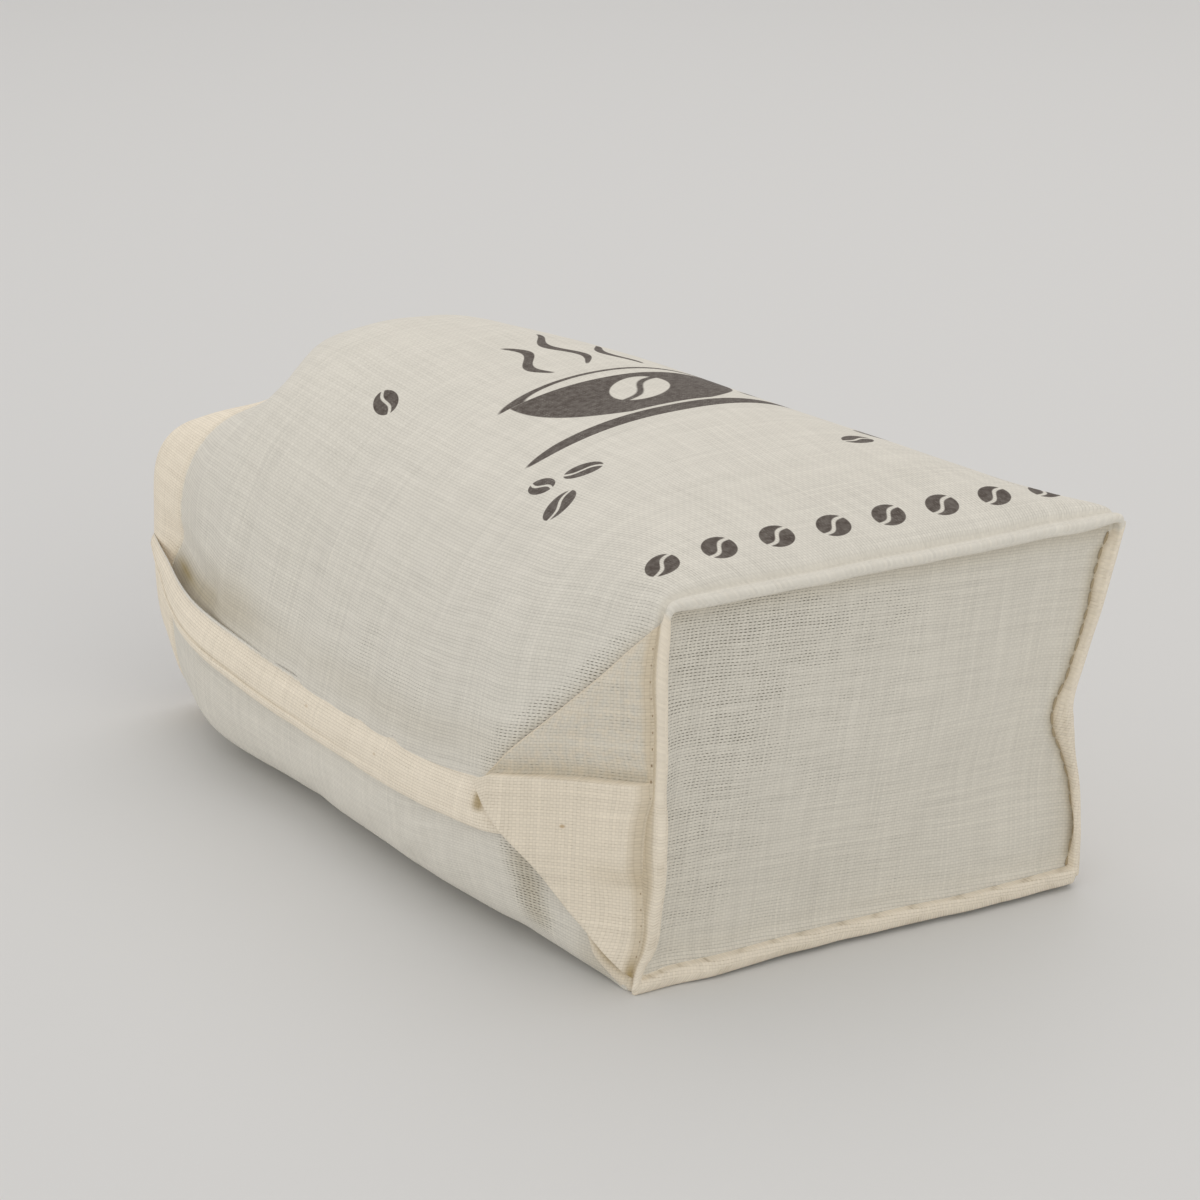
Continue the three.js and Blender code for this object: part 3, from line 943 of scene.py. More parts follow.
def flap_heights(y):
    """Heights across a corner flap at a distance from the rim, close together at its edges and at its step,
    with the heights of its edges and of the step, and the scale of its details, which shrink at the tip."""
    top, bottom, share = flap_edges(y)
    fine = min(1.0, (top - bottom) / 8.0)
    step = min(FLAP_STEP_HIGH + (FLAP_STEP_TIP - FLAP_STEP_HIGH) * share, top - 2.0 * fine)
    edge = fine * np.array((0.0, 0.06, 0.2, 0.42, 0.7))
    marks = step + fine * np.array((0.9, 0.45, 0.2, 0.0, -0.2, -0.45, -0.9))
    upper = np.linspace(top - edge[-1], marks[0], 20)[1:-1]
    lower = np.linspace(marks[-1], bottom + edge[-1], 30)[1:-1]
    z = np.concatenate((top - edge, upper, marks, lower, bottom + edge[::-1]))
    return z, top, bottom, step, fine


def flap_start(y):
    """0 where a flap comes out of the rim's fold, 1 from there on."""
    return smooth(y, FLAP_START - 0.2, FLAP_START + 0.5)


def flap_free(y):
    """0 where the rim's stitches hold a flap down, 1 past them."""
    return smooth(y, RIM_ROW - 0.5, RIM_ROW + 1.3)


def flap_faces(y, z, top, bottom, step, past):
    """How far the inner and the outer face of a flap's upper layer stand off the side, at heights z. past is
    1 above the step."""
    gap = np.minimum(top - z, z - bottom)
    rounded = np.sqrt(np.clip(1 - (1 - np.clip(gap / 0.5, 0, 1)) ** 2, 0, 1))
    above_low = smooth(z, FLAP_STEP_LOW - 2.4 - 12.0 * smooth(y, 3.4, 11.4), FLAP_STEP_LOW + 0.6)
    raised = FLAP_STEP_RAISE * (1 - past) * (0.35 + 0.65 * above_low)
    valley = FLAP_VALLEY * bell(z, step + 0.8, 2.3) * past
    puff = FLAP_PUFF * smooth(z - step, 2.0, 8.0) * smooth(top - z, 0.3, 4.0)
    tail = 0.6 * bell(y, 7.0, 3.0) * bell(z, bottom, 2.5)
    tuck = 0.5 * bell(y, 23.0, 3.0) * bell(z, bottom, 2.0)
    under = FLAP_GAP + (raised - valley + puff) * flap_free(y) + tail + tuck
    return under, under + (FLAP_THICKNESS * rounded - rim_trough(y)) * flap_start(y)


def flap_lip(y, bottom, under):
    """Heights of a flap's lower layer, how far it stands off the side there, and how far off its root is. It
    starts where the upper layer's inner face ends, under off the side, and shows as a lip near the rim."""
    open_lip = 1 - smooth(y, 8.0, 11.0)
    lip = 0.06 + FLAP_LIP * open_lip
    notch = 0.06 + FLAP_NOTCH * open_lip
    low = 0.06 * flap_start(y)
    z = bottom + notch * np.array((0.5, 1.0, 0.4, 0, 0, 0, 0, 0))
    z = np.maximum(z - lip * np.array((0, 0, 0, 0.18, 0.5, 0.88, 1.0, 0.9)), 0.1)
    out = low + np.array((0, 0, 0.3, 0.34, 0.5, 0.4, 0.18, 0))
    out[:2] = under - 0.03, 0.5 * (under + low)
    return z, out, low


def flap_shade(y, z, bottom, step, past):
    """Painted shade in the folds of a flap's face at heights z, an even darkening of the face, and shade on
    its lip.
    """
    dip = 0.25 * bell(z, step + 0.4, 1.9) * past
    soft = 0.14 * bell(z, FLAP_STEP_LOW - 1.2, 2.0) * (1 - smooth(y, 4.5, 12.5))
    sewn = 0.32 * bell(y, RIM_ROW, 0.8)
    fold = 0.65 * bell(y, RIM_ROW, 0.6) * bell(z, bottom, 2.8)
    face = np.clip((dip + 0.13 * past) + soft + sewn + fold + 0.05, 0, 1)
    # The lip's shade is painted darker in the gap under the upper layer, most about 6.6 mm from the rim.
    gape = bell(y, 6.6, 2.4)
    lip = np.array((0.8, 0.95, 0.55, 0.35, 0.1, 0.06, 0.08, 0.3))
    return face, lip + gape * np.array((0, 0, 0.4, 0.6, 0.3, 0, 0, 0))


def flap_loops(side):
    """One corner flap as loops round its section, from the rim's stitches to its tip, with its values: an
    upper layer with a step over the band's end, and a lower layer that shows as a lip near the rim."""
    loops = []
    maps = []
    layers = []
    shades = []
    sewn_to = FLAP_START + 1.8
    sewn = np.linspace(FLAP_START, sewn_to, 10)
    for y in np.concatenate((sewn, np.linspace(sewn_to, FLAP_LENGTH, 58)[1:])):
        z, top, bottom, step, fine = flap_heights(y)
        past = smooth(z, step - 0.3 * fine, step + 0.3 * fine)
        under, over = flap_faces(y, z, top, bottom, step, past)
        lip_z, lip_out, low = flap_lip(y, bottom, under[-1])
        back_out = (under * flap_start(y))[::-1][1:-1]
        back_out[:6] = np.linspace(low, back_out[6], 7)[:-1]
        all_z = np.concatenate((z, lip_z, z[::-1][1:-1]))
        all_out = np.concatenate((over, lip_out * flap_start(y), back_out))
        x = side_x(y, all_z, side) + side * all_out
        loops.append(rim_shaped(np.stack((x, np.full(len(x), y), all_z), 1)))
        u = np.append(all_z, all_z[0]) - step + FLAP_STEP_HIGH - BASE_HEIGHT / 2
        maps.append(np.stack((u, np.full(len(u), y)), 1))
        single = past * flap_free(y)
        # The upper layer is drawn partly single above the step. Its folded top edge keeps the layered colour,
        # for the fold's two layers and as a painted highlight along the edge.
        plain = np.ones(len(all_z))
        plain[:len(z)] -= 0.55 * single * smooth(top - z, 0.35, 0.8)
        layers.append(plain)
        face_shade, lip_shade = flap_shade(y, z, bottom, step, single)
        # The faces turned to the side are painted half in shade.
        shades.append(np.concatenate((face_shade, lip_shade, np.full(len(back_out), 0.5))))
    layers = np.array(layers)
    values = {"layers": layers, "sheer": 0.6 * (1 - layers), "shade": np.array(shades)}
    return np.array(loops), np.array(maps), values


# Finishes


class Value:
    """A number that varies over a surface: a socket whose arithmetic adds Math nodes to its graph."""

    def __init__(self, graph, socket):
        self.graph = graph
        self.socket = socket

    def output(self, name):
        return Value(self.graph, self.socket.node.outputs[name])

    def math(self, operation, *operands):
        sockets = dict(enumerate(operands))
        return self.graph.node("ShaderNodeMath", {"operation": operation}, sockets)

    def __add__(self, other):
        return self.math("ADD", self, other)

    def __radd__(self, other):
        return self.math("ADD", other, self)

    def __sub__(self, other):
        return self.math("SUBTRACT", self, other)

    def __rsub__(self, other):
        return self.math("SUBTRACT", other, self)

    def __mul__(self, other):
        return self.math("MULTIPLY", self, other)

    def __rmul__(self, other):
        return self.math("MULTIPLY", other, self)

    def __truediv__(self, other):
        return self.math("DIVIDE", self, other)

    def __rtruediv__(self, other):
        return self.math("DIVIDE", other, self)

    def __abs__(self):
        return self.math("ABSOLUTE", self)

    def floor(self):
        return self.math("FLOOR", self)

    def sine(self):
        return self.math("SINE", self)

    def root(self):
        return self.math("SQRT", self)

    def least(self, other):
        return self.math("MINIMUM", self, other)

    def most(self, other):
        return self.math("MAXIMUM", self, other)

    def smooth(self, low, high):
        """0 at low, 1 at high, eased between them; low may be above high."""
        sockets = {"Value": self, "From Min": low, "From Max": high}
        return self.graph.node("ShaderNodeMapRange", {"interpolation_type": "SMOOTHSTEP"}, sockets)


class Graph:
    """A node tree being built."""

    def __init__(self, tree):
        self.tree = tree

    def plug(self, socket, value):
        if isinstance(value, Value):
            self.tree.links.new(value.socket, socket)
        else:
            socket.default_value = value

    def node(self, kind, settings=None, sockets=None, output=0):
        """Adds any node: its settings first, then its sockets' values and links."""
        made = self.tree.nodes.new(kind)
        for name, value in (settings or {}).items():
            setattr(made, name, value)
        for key, value in (sockets or {}).items():
            self.plug(made.inputs[key], value)
        return Value(self, made.outputs[output]) if made.outputs else None


class Finish(Graph):
    """One material being made: its node tree and the shader that its values feed."""

    def __init__(self, name):
        self.material = bpy.data.materials.new(name)
        self.material.use_nodes = True
        super().__init__(self.material.node_tree)
        self.shader = self.tree.nodes["Principled BSDF"]

    def feed(self, **inputs):
        """Sets or links the shader's sockets; an underscore stands for a space."""
        for name, value in inputs.items():
            self.plug(self.shader.inputs[name.replace("_", " ")], value)

    def noise(self, x, y, layer, detail=1.0):
        """Soft noise about 0.5 over two coordinates. layer picks an unlike pattern."""
        place = self.node("ShaderNodeCombineXYZ", None, {"X": x, "Y": y, "Z": layer})
        return self.node("ShaderNodeTexNoise", None, {"Vector": place, "Scale": 1.0, "Detail": detail})

    def chance(self, number):
        """An even random value from 0 to 1 for each whole number."""
        return self.node("ShaderNodeTexWhiteNoise", {"noise_dimensions": "1D"}, {"W": number})

    def blend(self, share, first, second, way="MIX"):
        """A mix of two colours. Sockets 6 and 7 and output 2 are the Mix node's own for colours."""
        settings = {"data_type": "RGBA", "blend_type": way}
        return self.node("ShaderNodeMix", settings, {0: share, 6: first, 7: second}, output=2)

    def attribute(self, name):
        return self.node("ShaderNodeAttribute", {"attribute_name": name}, None, output="Fac")


def opaque(colour):
    """A setting's colour with full alpha."""
    return (colour[0], colour[1], colour[2], 1.0)


def yarns(cloth, across, along, pitch, seed):
    """Yarns that lie side by side, counted across the cloth: where a place lies among them, the yarn's
    number, how far off its middle the place is, how much of a gap there is beside it, and how thick and pale
    it is."""
    wander = (cloth.noise(across * 0.07, along * 0.05, seed) - 0.5) * 1.2
    lane = (across + wander) / pitch
    index = lane.floor()
    off_middle = abs(lane - index - 0.5) * 2
    slub = cloth.noise(index * 5.3, along * 0.09, seed + 7.7, detail=2.0)
    gap = off_middle.smooth(slub * 0.8 + 0.2, 1.1)
    tone = slub + (cloth.chance(index + seed * 31) - 0.5) * 0.3
    return lane, index, off_middle, gap, tone


def odd(number):
    """1 on odd whole numbers and 0 on even ones."""
    half = number * 0.5
    return (half - half.floor()) * 2


# Brown flecks of seed husk in the yarns, by cloth coordinates in millimetres.
FLECKS = Table(
    "u v wide tall amount",
    (24.0 - BASE_MAP, -44.5, 0.3, 0.3, 0.9),
    (-3.95, 12.9, 0.35, 0.5, 0.6),
    (-36.4, 88.0, 0.3, 0.6, 0.3),
    (-35.5, 62.0, 0.3, 0.5, 0.3),
    (296.0, 80.0, 0.5, 0.4, 0.3),
)


def flecks(u, v):
    """How much of a fleck there is at a place on the cloth."""
    total = 0.0
    for place_u, place_v, wide, tall, amount in FLECKS.rows.tolist():
        total = ellipse(u - place_u, v - place_v, wide, tall).smooth(0.3, -0.6) * amount + total
    return total


# How many pinholes a row of yarn has for each yarn that crosses it.
HOLE_SHARE = 0.64


def pinholes(cloth, rows, picks, row_gap, opened):
    """Short dark gaps between the rows of yarn. Each row has its own stagger and darkness, and each hole its
    own darkness."""
    lane = (rows + 0.5).floor()
    spaced = picks * HOLE_SHARE + cloth.chance(lane + 17.0) * 0.5
    hole = spaced.floor()
    dash = (abs(spaced - hole - 0.5) * 2).smooth(0.75, 0.2)
    row_dark = cloth.chance(lane + 57.0) * 0.5 + 0.4
    hole_dark = cloth.chance(lane * 13.0 + hole * 101.0) * 0.9 + 0.55
    return row_gap * dash * opened * row_dark * hole_dark


def muslin(name, colours, printed):
    """Unbleached plain weave on the piece's cloth coordinates, with slubs and pinholes."""
    cloth = Finish(name)
    place = cloth.node("ShaderNodeUVMap", {"uv_map": "cloth"})
    u = cloth.node("ShaderNodeSeparateXYZ", None, {"Vector": place})
    v = u.output("Y")
    layers = cloth.attribute("layers")
    sheer = cloth.attribute("sheer")
    shade = cloth.attribute("shade")
    # The yarns over and under each other
    pitch = colours.weave_pitch / MM
    rows, row_index, row_off, row_gap, row_tone = yarns(cloth, u, v, pitch, 1.3)
    picks, pick_index, pick_off, pick_gap, pick_tone = yarns(cloth, v, u, pitch, 4.9)
    over = odd(row_index + pick_index)
    swell = over * (1 - pick_off * pick_off) + (1 - over) * (1 - row_off * row_off)
    # Where the cloth is single, layered or open
    cloud = cloth.noise(u * 0.1, v * 0.1, 9.1, detail=3.0)
    grain = cloth.noise(u * 1.1, v * 1.1, 3.3, detail=2.0)
    fuzzy_edge = (grain - 0.5) * layers.smooth(0.2, 0.35) * layers.smooth(1.0, 0.8) * 0.6
    layered = (layers + fuzzy_edge).smooth(0.25, 0.75)
    open_weave = ((sheer + (cloud - 0.5) * 0.8) * (1 - layered * 0.8)).smooth(0.0, 1.0)
    patch = cloth.noise(u * 0.4, v * 0.2, 6.2, detail=3.0).smooth(0.38, 0.64)
    opened = (patch * 0.8 + (sheer - 1.0).most(0.0) * 0.6 + 0.28).least(1.2)
    # The dark between the yarns: painted shade in the gaps and of the bag's inside seen through the pinholes
    pinhole = pinholes(cloth, rows, picks, row_gap, opened)
    lines = row_gap * (open_weave * 0.14 + layered * 0.12 + 0.25)
    lines = lines + pick_gap * (open_weave * 0.04 + layered * 0.12 + 0.11)
    dark = pinhole * (open_weave * 2.6 + layered * 0.35 + 0.14) + lines * (sheer + 1.0).least(1.0)
    # The colours
    streak = (row_tone + pick_tone - 1.0) * 0.13
    paler = (layers - 1.0).most(0.0) * 0.4
    tone = streak + paler + (over - 0.5) * 0.04 + (cloud - 0.5) * 0.05 + 1.0
    base = cloth.blend(layered, opaque(colours.single), opaque(colours.layered))
    base = cloth.blend(1.0, base, tone, "MULTIPLY")
    gap_colour = cloth.blend(layered, opaque(colours.gap), opaque(colours.layered_gap))
    base = cloth.blend(dark.least(1.0), base, gap_colour)
    base = cloth.blend(flecks(u, v).least(1.0), base, opaque(colours.husk))
    if printed:
        worn = print_mask(u, v) * (0.95 - pinhole * 0.3 - (grain - 0.5) * 0.3).least(1.0)
        base = cloth.blend(worn, base, opaque(colours.ink))
    # Painted shade: the shade attribute darkens the colour towards the fold shadow colour, where little light
    # reaches.
    base = cloth.blend(shade, base, opaque(colours.shadow), "MULTIPLY")
    height = swell * 0.6 + (row_tone + pick_tone) * 0.5 - pinhole * 0.6
    bump = cloth.node("ShaderNodeBump", None, {"Height": height, "Strength": 0.35, "Distance": 0.0001})
    cloth.feed(Base_Color=base, Normal=bump, Roughness=0.92)
    cloth.feed(Sheen_Weight=0.08, Sheen_Roughness=0.6, Specular_IOR_Level=0.2)
    return cloth.material


# The print in millimetres on the cloth: a steaming cup, a row of beans along the base and a few loose beans.
CUP_PLACE = (78.0, 74.0)
CUP_WIDE = 20.0
CUP_TALL = 20.0
CUP_BRIM = 6.0
CUP_FOOT = -12.5
SAUCER_WIDE = 29.0
SAUCER_PLACE = -15.0
SAUCER_TOP = -13.5
WISPS = Table("place low high", (-8.0, 12.5, 29.0), (0.0, 13.5, 34.0), (8.0, 12.5, 27.0))
BEANS = 8
BEAN_ROW = 9.0
BEAN_PITCH = 10.5
BEAN_SIZE = 3.4
BEAN_TILT = 0.5
LOOSE_BEANS = Table(
    "u v size turn",
    (45, 40, 3.8, 0.5),
    (53, 46, 3.4, -0.7),
    (47, 50, 3.0, 1.7),
    (104, 38, 3.6, 2.4),
    (97, 32, 3.2, 0.2),
    (48, 104, 3.2, 1.1),
)


def ellipse(x, y, wide, tall):
    """How far outside an ellipse a place is, in shares of its size: below 0 inside."""
    across = x / wide
    up = y / tall
    return (across * across + up * up).root() - 1.0


def turned(x, y, angle):
    """Two coordinates as seen from axes turned by an angle."""
    return x * math.cos(angle) + y * math.sin(angle), y * math.cos(angle) - x * math.sin(angle)


def bean(x, y, size, angle):
    """A coffee bean: an oval with a wavy slit."""
    along, across = turned(x, y, angle)
    body = ellipse(along, across, size, size * 0.68).smooth(0.03, -0.03)
    slit = abs(across - (along * (math.pi / size)).sine() * (size * 0.13))
    return body * slit.smooth(size * 0.05, size * 0.12)


def steam(x, y, low, high, start):
    """A wisp of steam: a wavy stroke that thins towards its ends."""
    share = (y - low) / (high - low)
    middle = (y * 0.42 + start).sine() * 1.7
    wide = (share * (1 - share)).most(0.0).root() * 2.0
    inside = share.smooth(0.0, 0.05) * share.smooth(1.0, 0.95)
    return abs(x - middle).smooth(wide + 0.12, wide - 0.12) * inside


def cup(x, y):
    """A cup on a saucer with a bean left bare on its side, and three wisps of steam above."""
    below_brim = y.smooth(CUP_BRIM + 0.1, CUP_BRIM - 0.1)
    above_brim = y.smooth(CUP_BRIM - 0.1, CUP_BRIM + 0.1)
    above_foot = y.smooth(CUP_FOOT - 0.1, CUP_FOOT + 0.1)
    bowl = ellipse(x, y - CUP_BRIM, CUP_WIDE, CUP_TALL).smooth(0.008, -0.008) * below_brim * above_foot
    brim = abs(ellipse(x, y - CUP_BRIM, CUP_WIDE - 0.5, 3.2)).smooth(0.16, 0.1) * above_brim
    ear = abs(ellipse(x - CUP_WIDE, y + 0.5, 7.5, 6.5)).smooth(0.21, 0.17) * x.smooth(17.0, 18.0)
    saucer = ellipse(x, y - SAUCER_PLACE, SAUCER_WIDE, 2.4).smooth(0.02, -0.02)
    saucer = saucer * y.smooth(SAUCER_TOP + 0.1, SAUCER_TOP - 0.1)
    drawn = (bowl * (1 - bean(x, y + 2.0, 7.0, 0.7))).most(brim).most(ear * (1 - bowl)).most(saucer)
    for place, low, high in WISPS.rows.tolist():
        drawn = drawn.most(steam(x - place, y, low, high, place * 0.3))
    return drawn


def print_mask(u, v):
    """Where the print's ink lies."""
    drawn = cup(u - CUP_PLACE[0], v - CUP_PLACE[1])
    last = BEANS - 1
    first = CORNER + (BASE_WIDTH - last * BEAN_PITCH) / 2
    lane = (u - first) / BEAN_PITCH + 0.5
    index = lane.floor()
    row = bean((lane - index - 0.5) * BEAN_PITCH, v - BEAN_ROW, BEAN_SIZE, BEAN_TILT)
    drawn = drawn.most(row * index.smooth(-0.9, -0.1) * index.smooth(last + 0.9, last + 0.1))
    for place_u, place_v, size, turn in LOOSE_BEANS.rows.tolist():
        drawn = drawn.most(bean(u - place_u, v - place_v, size, turn))
    return drawn


def thread(name, colour):
    """Sewing cotton, a little uneven in its tone and on its surface."""
    cotton = Finish(name)
    place = cotton.node("ShaderNodeTexCoord", None, None, output="Object")
    twist = cotton.node("ShaderNodeTexNoise", None, {"Vector": place, "Scale": 5200.0, "Detail": 2.0})
    base = cotton.blend(1.0, opaque(colour), twist * 0.4 + 0.8, "MULTIPLY")
    bump = cotton.node("ShaderNodeBump", None, {"Height": twist, "Strength": 0.4, "Distance": 0.00005})
    cotton.feed(Base_Color=base, Normal=bump, Roughness=0.85)
    return cotton.material


# Stitches

STITCH_INPUTS = (
    ("Pitch", "NodeSocketFloat"),
    ("Length", "NodeSocketFloat"),
    ("Width", "NodeSocketFloat"),
    ("Height", "NodeSocketFloat"),
    ("Slant", "NodeSocketFloat"),
    ("Seed", "NodeSocketInt"),
    ("Cotton", "NodeSocketMaterial"),
)

# Where the rows run: heights on the short rims, girth on the rim's foot, and how far before the panel.
SIDE_ROW = (4.0, 57.5)
RIGHT_FOOT = (122.0, 182.0)
LOWER_FOOT = (187.0, 269.0)
FOOT_ROW = 0.8


def stitch_rule():
    """Geometry Nodes that lay one stitch after another along a path, each on the cloth's outward side."""
    tree = bpy.data.node_groups.new("stitches", "GeometryNodeTree")
    tree.interface.new_socket("Path", in_out="INPUT", socket_type="NodeSocketGeometry")
    for label, kind in STITCH_INPUTS:
        tree.interface.new_socket(label, in_out="INPUT", socket_type=kind)
    tree.interface.new_socket("Stitches", in_out="OUTPUT", socket_type="NodeSocketGeometry")
    rule = Graph(tree)
    path = rule.node("NodeGroupInput")
    size = {label: path.output(label) for label, _ in STITCH_INPUTS}
    curve = rule.node("GeometryNodeMeshToCurve", None, {"Mesh": path})
    pitched = {"Curve": curve, "Length": size["Pitch"]}
    spaced = rule.node("GeometryNodeResampleCurve", {"mode": "LENGTH"}, pitched)
    tangent = rule.node("GeometryNodeInputTangent")
    out = rule.node("GeometryNodeInputNamedAttribute", {"data_type": "FLOAT_VECTOR"}, {"Name": "out"})
    axes = {"primary_axis": "X", "secondary_axis": "Z"}
    laid = rule.node("FunctionNodeAxesToRotation", axes, {"Primary Axis": tangent, "Secondary Axis": out})
    # Sockets 2 and 3 of Random Value are the least and the most of a float.
    swaying = {2: -0.12, 3: 0.12, "Seed": size["Seed"]}
    sway = rule.node("FunctionNodeRandomValue", {"data_type": "FLOAT"}, swaying, 1)
    slant = rule.node("ShaderNodeCombineXYZ", None, {"Z": size["Slant"] + sway})
    turn = rule.node("FunctionNodeEulerToRotation", None, {"Euler": slant})
    turned_by = {"Rotation": laid, "Rotate By": turn}
    facing = rule.node("FunctionNodeRotateRotation", {"rotation_space": "LOCAL"}, turned_by)
    spread = {2: 0.8, 3: 1.15, "Seed": size["Seed"]}
    uneven = rule.node("FunctionNodeRandomValue", {"data_type": "FLOAT"}, spread, 1)
    scales = {"X": size["Length"] * uneven * 0.5, "Y": size["Width"] * 0.5, "Z": size["Height"] * 0.5}
    scale = rule.node("ShaderNodeCombineXYZ", None, scales)
    knot = rule.node("GeometryNodeMeshUVSphere", None, {"Segments": 8, "Rings": 5, "Radius": 1.0})
    placed = {"Points": spaced, "Instance": knot, "Rotation": facing, "Scale": scale}
    stitches = rule.node("GeometryNodeInstanceOnPoints", None, placed)
    plain = rule.node("GeometryNodeRealizeInstances", None, {"Geometry": stitches})
    sewn = rule.node("GeometryNodeSetMaterial", None, {"Geometry": plain, "Material": size["Cotton"]})
    rule.node("NodeGroupOutput", None, {"Stitches": sewn})
    return tree


def stitch_row(name, tree, points, outward, sizes):
    """A row of stitches along points in the drawing, as a plain mesh."""
    mesh = bpy.data.meshes.new(name)
    edges = [(k, k + 1) for k in range(len(points) - 1)]
    mesh.from_pydata(((points - ORIGIN) * MM).tolist(), edges, [])
    out = mesh.attributes.new("out", "FLOAT_VECTOR", "POINT")
    out.data.foreach_set("vector", outward.astype(np.float32).ravel())
    row = linked(name, mesh)
    modifier = row.modifiers.new("stitches", "NODES")
    modifier.node_group = tree
    for item in tree.interface.items_tree:
        if item.in_out == "INPUT" and item.name in sizes:
            modifier[item.identifier] = sizes[item.name]
    evaluated = row.evaluated_get(bpy.context.evaluated_depsgraph_get())
    plain = bpy.data.meshes.new_from_object(evaluated)
    row.modifiers.remove(modifier)
    row.data = plain
    plain.shade_smooth()
    return row


def side_row(side):
    """The row of needle holes down one short rim, and the way out of the cloth there."""
    z = np.linspace(*SIDE_ROW, 120)
    y = np.full(len(z), RIM_ROW)
    proud = FLAP_PROUD - RIM_TROUGH + 0.02
    x = np.array([float(side_x(RIM_ROW, np.array(height), side)) for height in z]) + side * proud
    out = np.tile((float(side), 0.0, 0.0), (len(z), 1))
    return rim_shaped(np.stack((x, y, z), 1)), out


def foot_row(ends, inwards, forwards):
    """A row of stitches along the rim's foot between two girth positions, moved inwards and forwards."""
    edge = rim_shaped(rim_foot(RIM_DEPTH - FOOT_ROW))
    points = edge[(AROUND > ends[0]) & (AROUND < ends[1])]
    inward = edge.mean(0) - points
    inward[:, 1] = 0.0
    inward /= np.linalg.norm(inward, axis=1)[:, None]
    out = inward * 0.5 + np.array((0.0, -1.0, 0.0))
    out /= np.linalg.norm(out, axis=1)[:, None]
    return points + inward * inwards + np.array((0.0, -forwards, 0.0)), out


def hem_row():
    """The row of stitches round the hem, on its outside."""
    ring = cloth_ring(HEM_ROW)
    out = ring - ring.mean(0)
    out /= np.linalg.norm(out, axis=1)[:, None]
    out = np.concatenate((out, out[:1]))
    return np.concatenate((ring, ring[:1])) - 0.02 * out, out


# Settings


def length_setting(name, description, default, precision):
    """A length in metres, shown with a number of decimals."""
    return FloatProperty(
        name=name, description=description, default=default, unit="LENGTH", precision=precision
    )


def colour_setting(name, description, default):
    """A colour without alpha."""
    return FloatVectorProperty(
        name=name, description=description, subtype="COLOR", default=default, min=0, max=1
    )


def power_setting(name, description, default):
    """A light's power in watts."""
    return FloatProperty(name=name, description=description, default=default, unit="POWER")


class ClothSettings(PropertyGroup):
    """Sizes and colours of the muslin."""

    weave_pitch: length_setting("Weave pitch", "Distance between two yarns", 0.00052, 5)
    single: colour_setting("Single cloth", "Colour of one layer over the filling", (0.785, 0.75, 0.67))
    layered: colour_setting("Layered cloth", "Colour of several layers", (0.88, 0.795, 0.66))
    # gap and layered_gap: the colours of the painted shade between the yarns.
    gap: colour_setting("Pinholes", "Colour between the yarns of one layer", (0.16, 0.145, 0.11))
    layered_gap: colour_setting("Layered pinholes", "Colour between layered yarns", (0.50, 0.42, 0.30))
    ink: colour_setting("Ink", "Colour of the print", (0.085, 0.066, 0.055))
    husk: colour_setting("Husk", "Colour of the flecks in the yarns", (0.46, 0.28, 0.09))
    # shadow: the colour that the shade painted into the cloth's folds darkens it towards.
    shadow: colour_setting("Fold shadow", "Tint of the cloth deep in its folds", (0.46, 0.38, 0.22))


class StitchSettings(PropertyGroup):
    """Sizes and colours of the sewing."""

    pitch: length_setting("Stitch pitch", "Length of one stitch", 0.0026, 4)
    seed: IntProperty(name="Seed", description="Picks how uneven the stitches are", default=7)
    cotton: colour_setting("Cotton", "Colour of the thread", (0.90, 0.845, 0.73))
    # hole: dark grains of thread at the needle holes, painted shade for the inside of the holes.
    hole: colour_setting("Needle holes", "Colour of the cloth at the needle holes", (0.36, 0.27, 0.17))
    # deep: a darker copy of the cotton, painted shade for the stitches deep in the right rim's fold.
    deep: colour_setting("Deep stitches", "Colour of stitches in the right rim's fold", (0.42, 0.34, 0.22))


class StageSettings(PropertyGroup):
    """Floor, lights and camera."""

    floor_size: length_setting("Floor", "Side of the square floor", 9.0, 2)
    table: colour_setting("Table", "Colour of the floor", (0.73, 0.728, 0.72))
    lens: FloatProperty(
        name="Lens", description="Focal length in millimetres", default=96.0, unit="CAMERA"
    )
    sky: FloatProperty(name="Sky", description="Strength of the even light all round", default=0.65)
    key: power_setting("Key light", "Power of the overhead light", 3.65)
    fill: power_setting("Fill light", "Power of the front light", 2.1)
    side: power_setting("Side light", "Power of the low light at the left", 1.25)


class BagSettings(PropertyGroup):
    """All the settings of the muslin bag."""

    cloth: PointerProperty(name="Cloth", description="Sizes and colours of the muslin", type=ClothSettings)
    stitch: PointerProperty(name="Sewing", description="Sizes and colours of the sewing", type=StitchSettings)
    stage: PointerProperty(name="Stage", description="Floor, lights and camera", type=StageSettings)


def settings():
    """The settings that the scene holds."""
    return bpy.context.scene.muslin_bag


def weave(name, printed):
    """The muslin of that name, made once and found again."""
    return bpy.data.materials.get(name) or muslin(name, settings().cloth, printed)


# Operators

SIDES = (("left", -1), ("right", 1))


class MUSLINBAG_OT_body(Operator):
    """Makes the bag's cloth with its base, rim and hem"""

    bl_idname = "muslin_bag.body"
    bl_label = "Body cloth"

    def execute(self, context):
        loops, places, layers, (panel_rows, base_rows, outer_rows) = body_cloth()
        strips = body_maps(loops, places, base_rows, outer_rows)
        values = body_values(loops, places, layers, panel_rows, outer_rows)
        piece = loft("bag_cloth", loops, strips, values, weave("muslin_weave", printed=True))
        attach(piece, BODY)
        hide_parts("body_cloth")
        return {"FINISHED"}


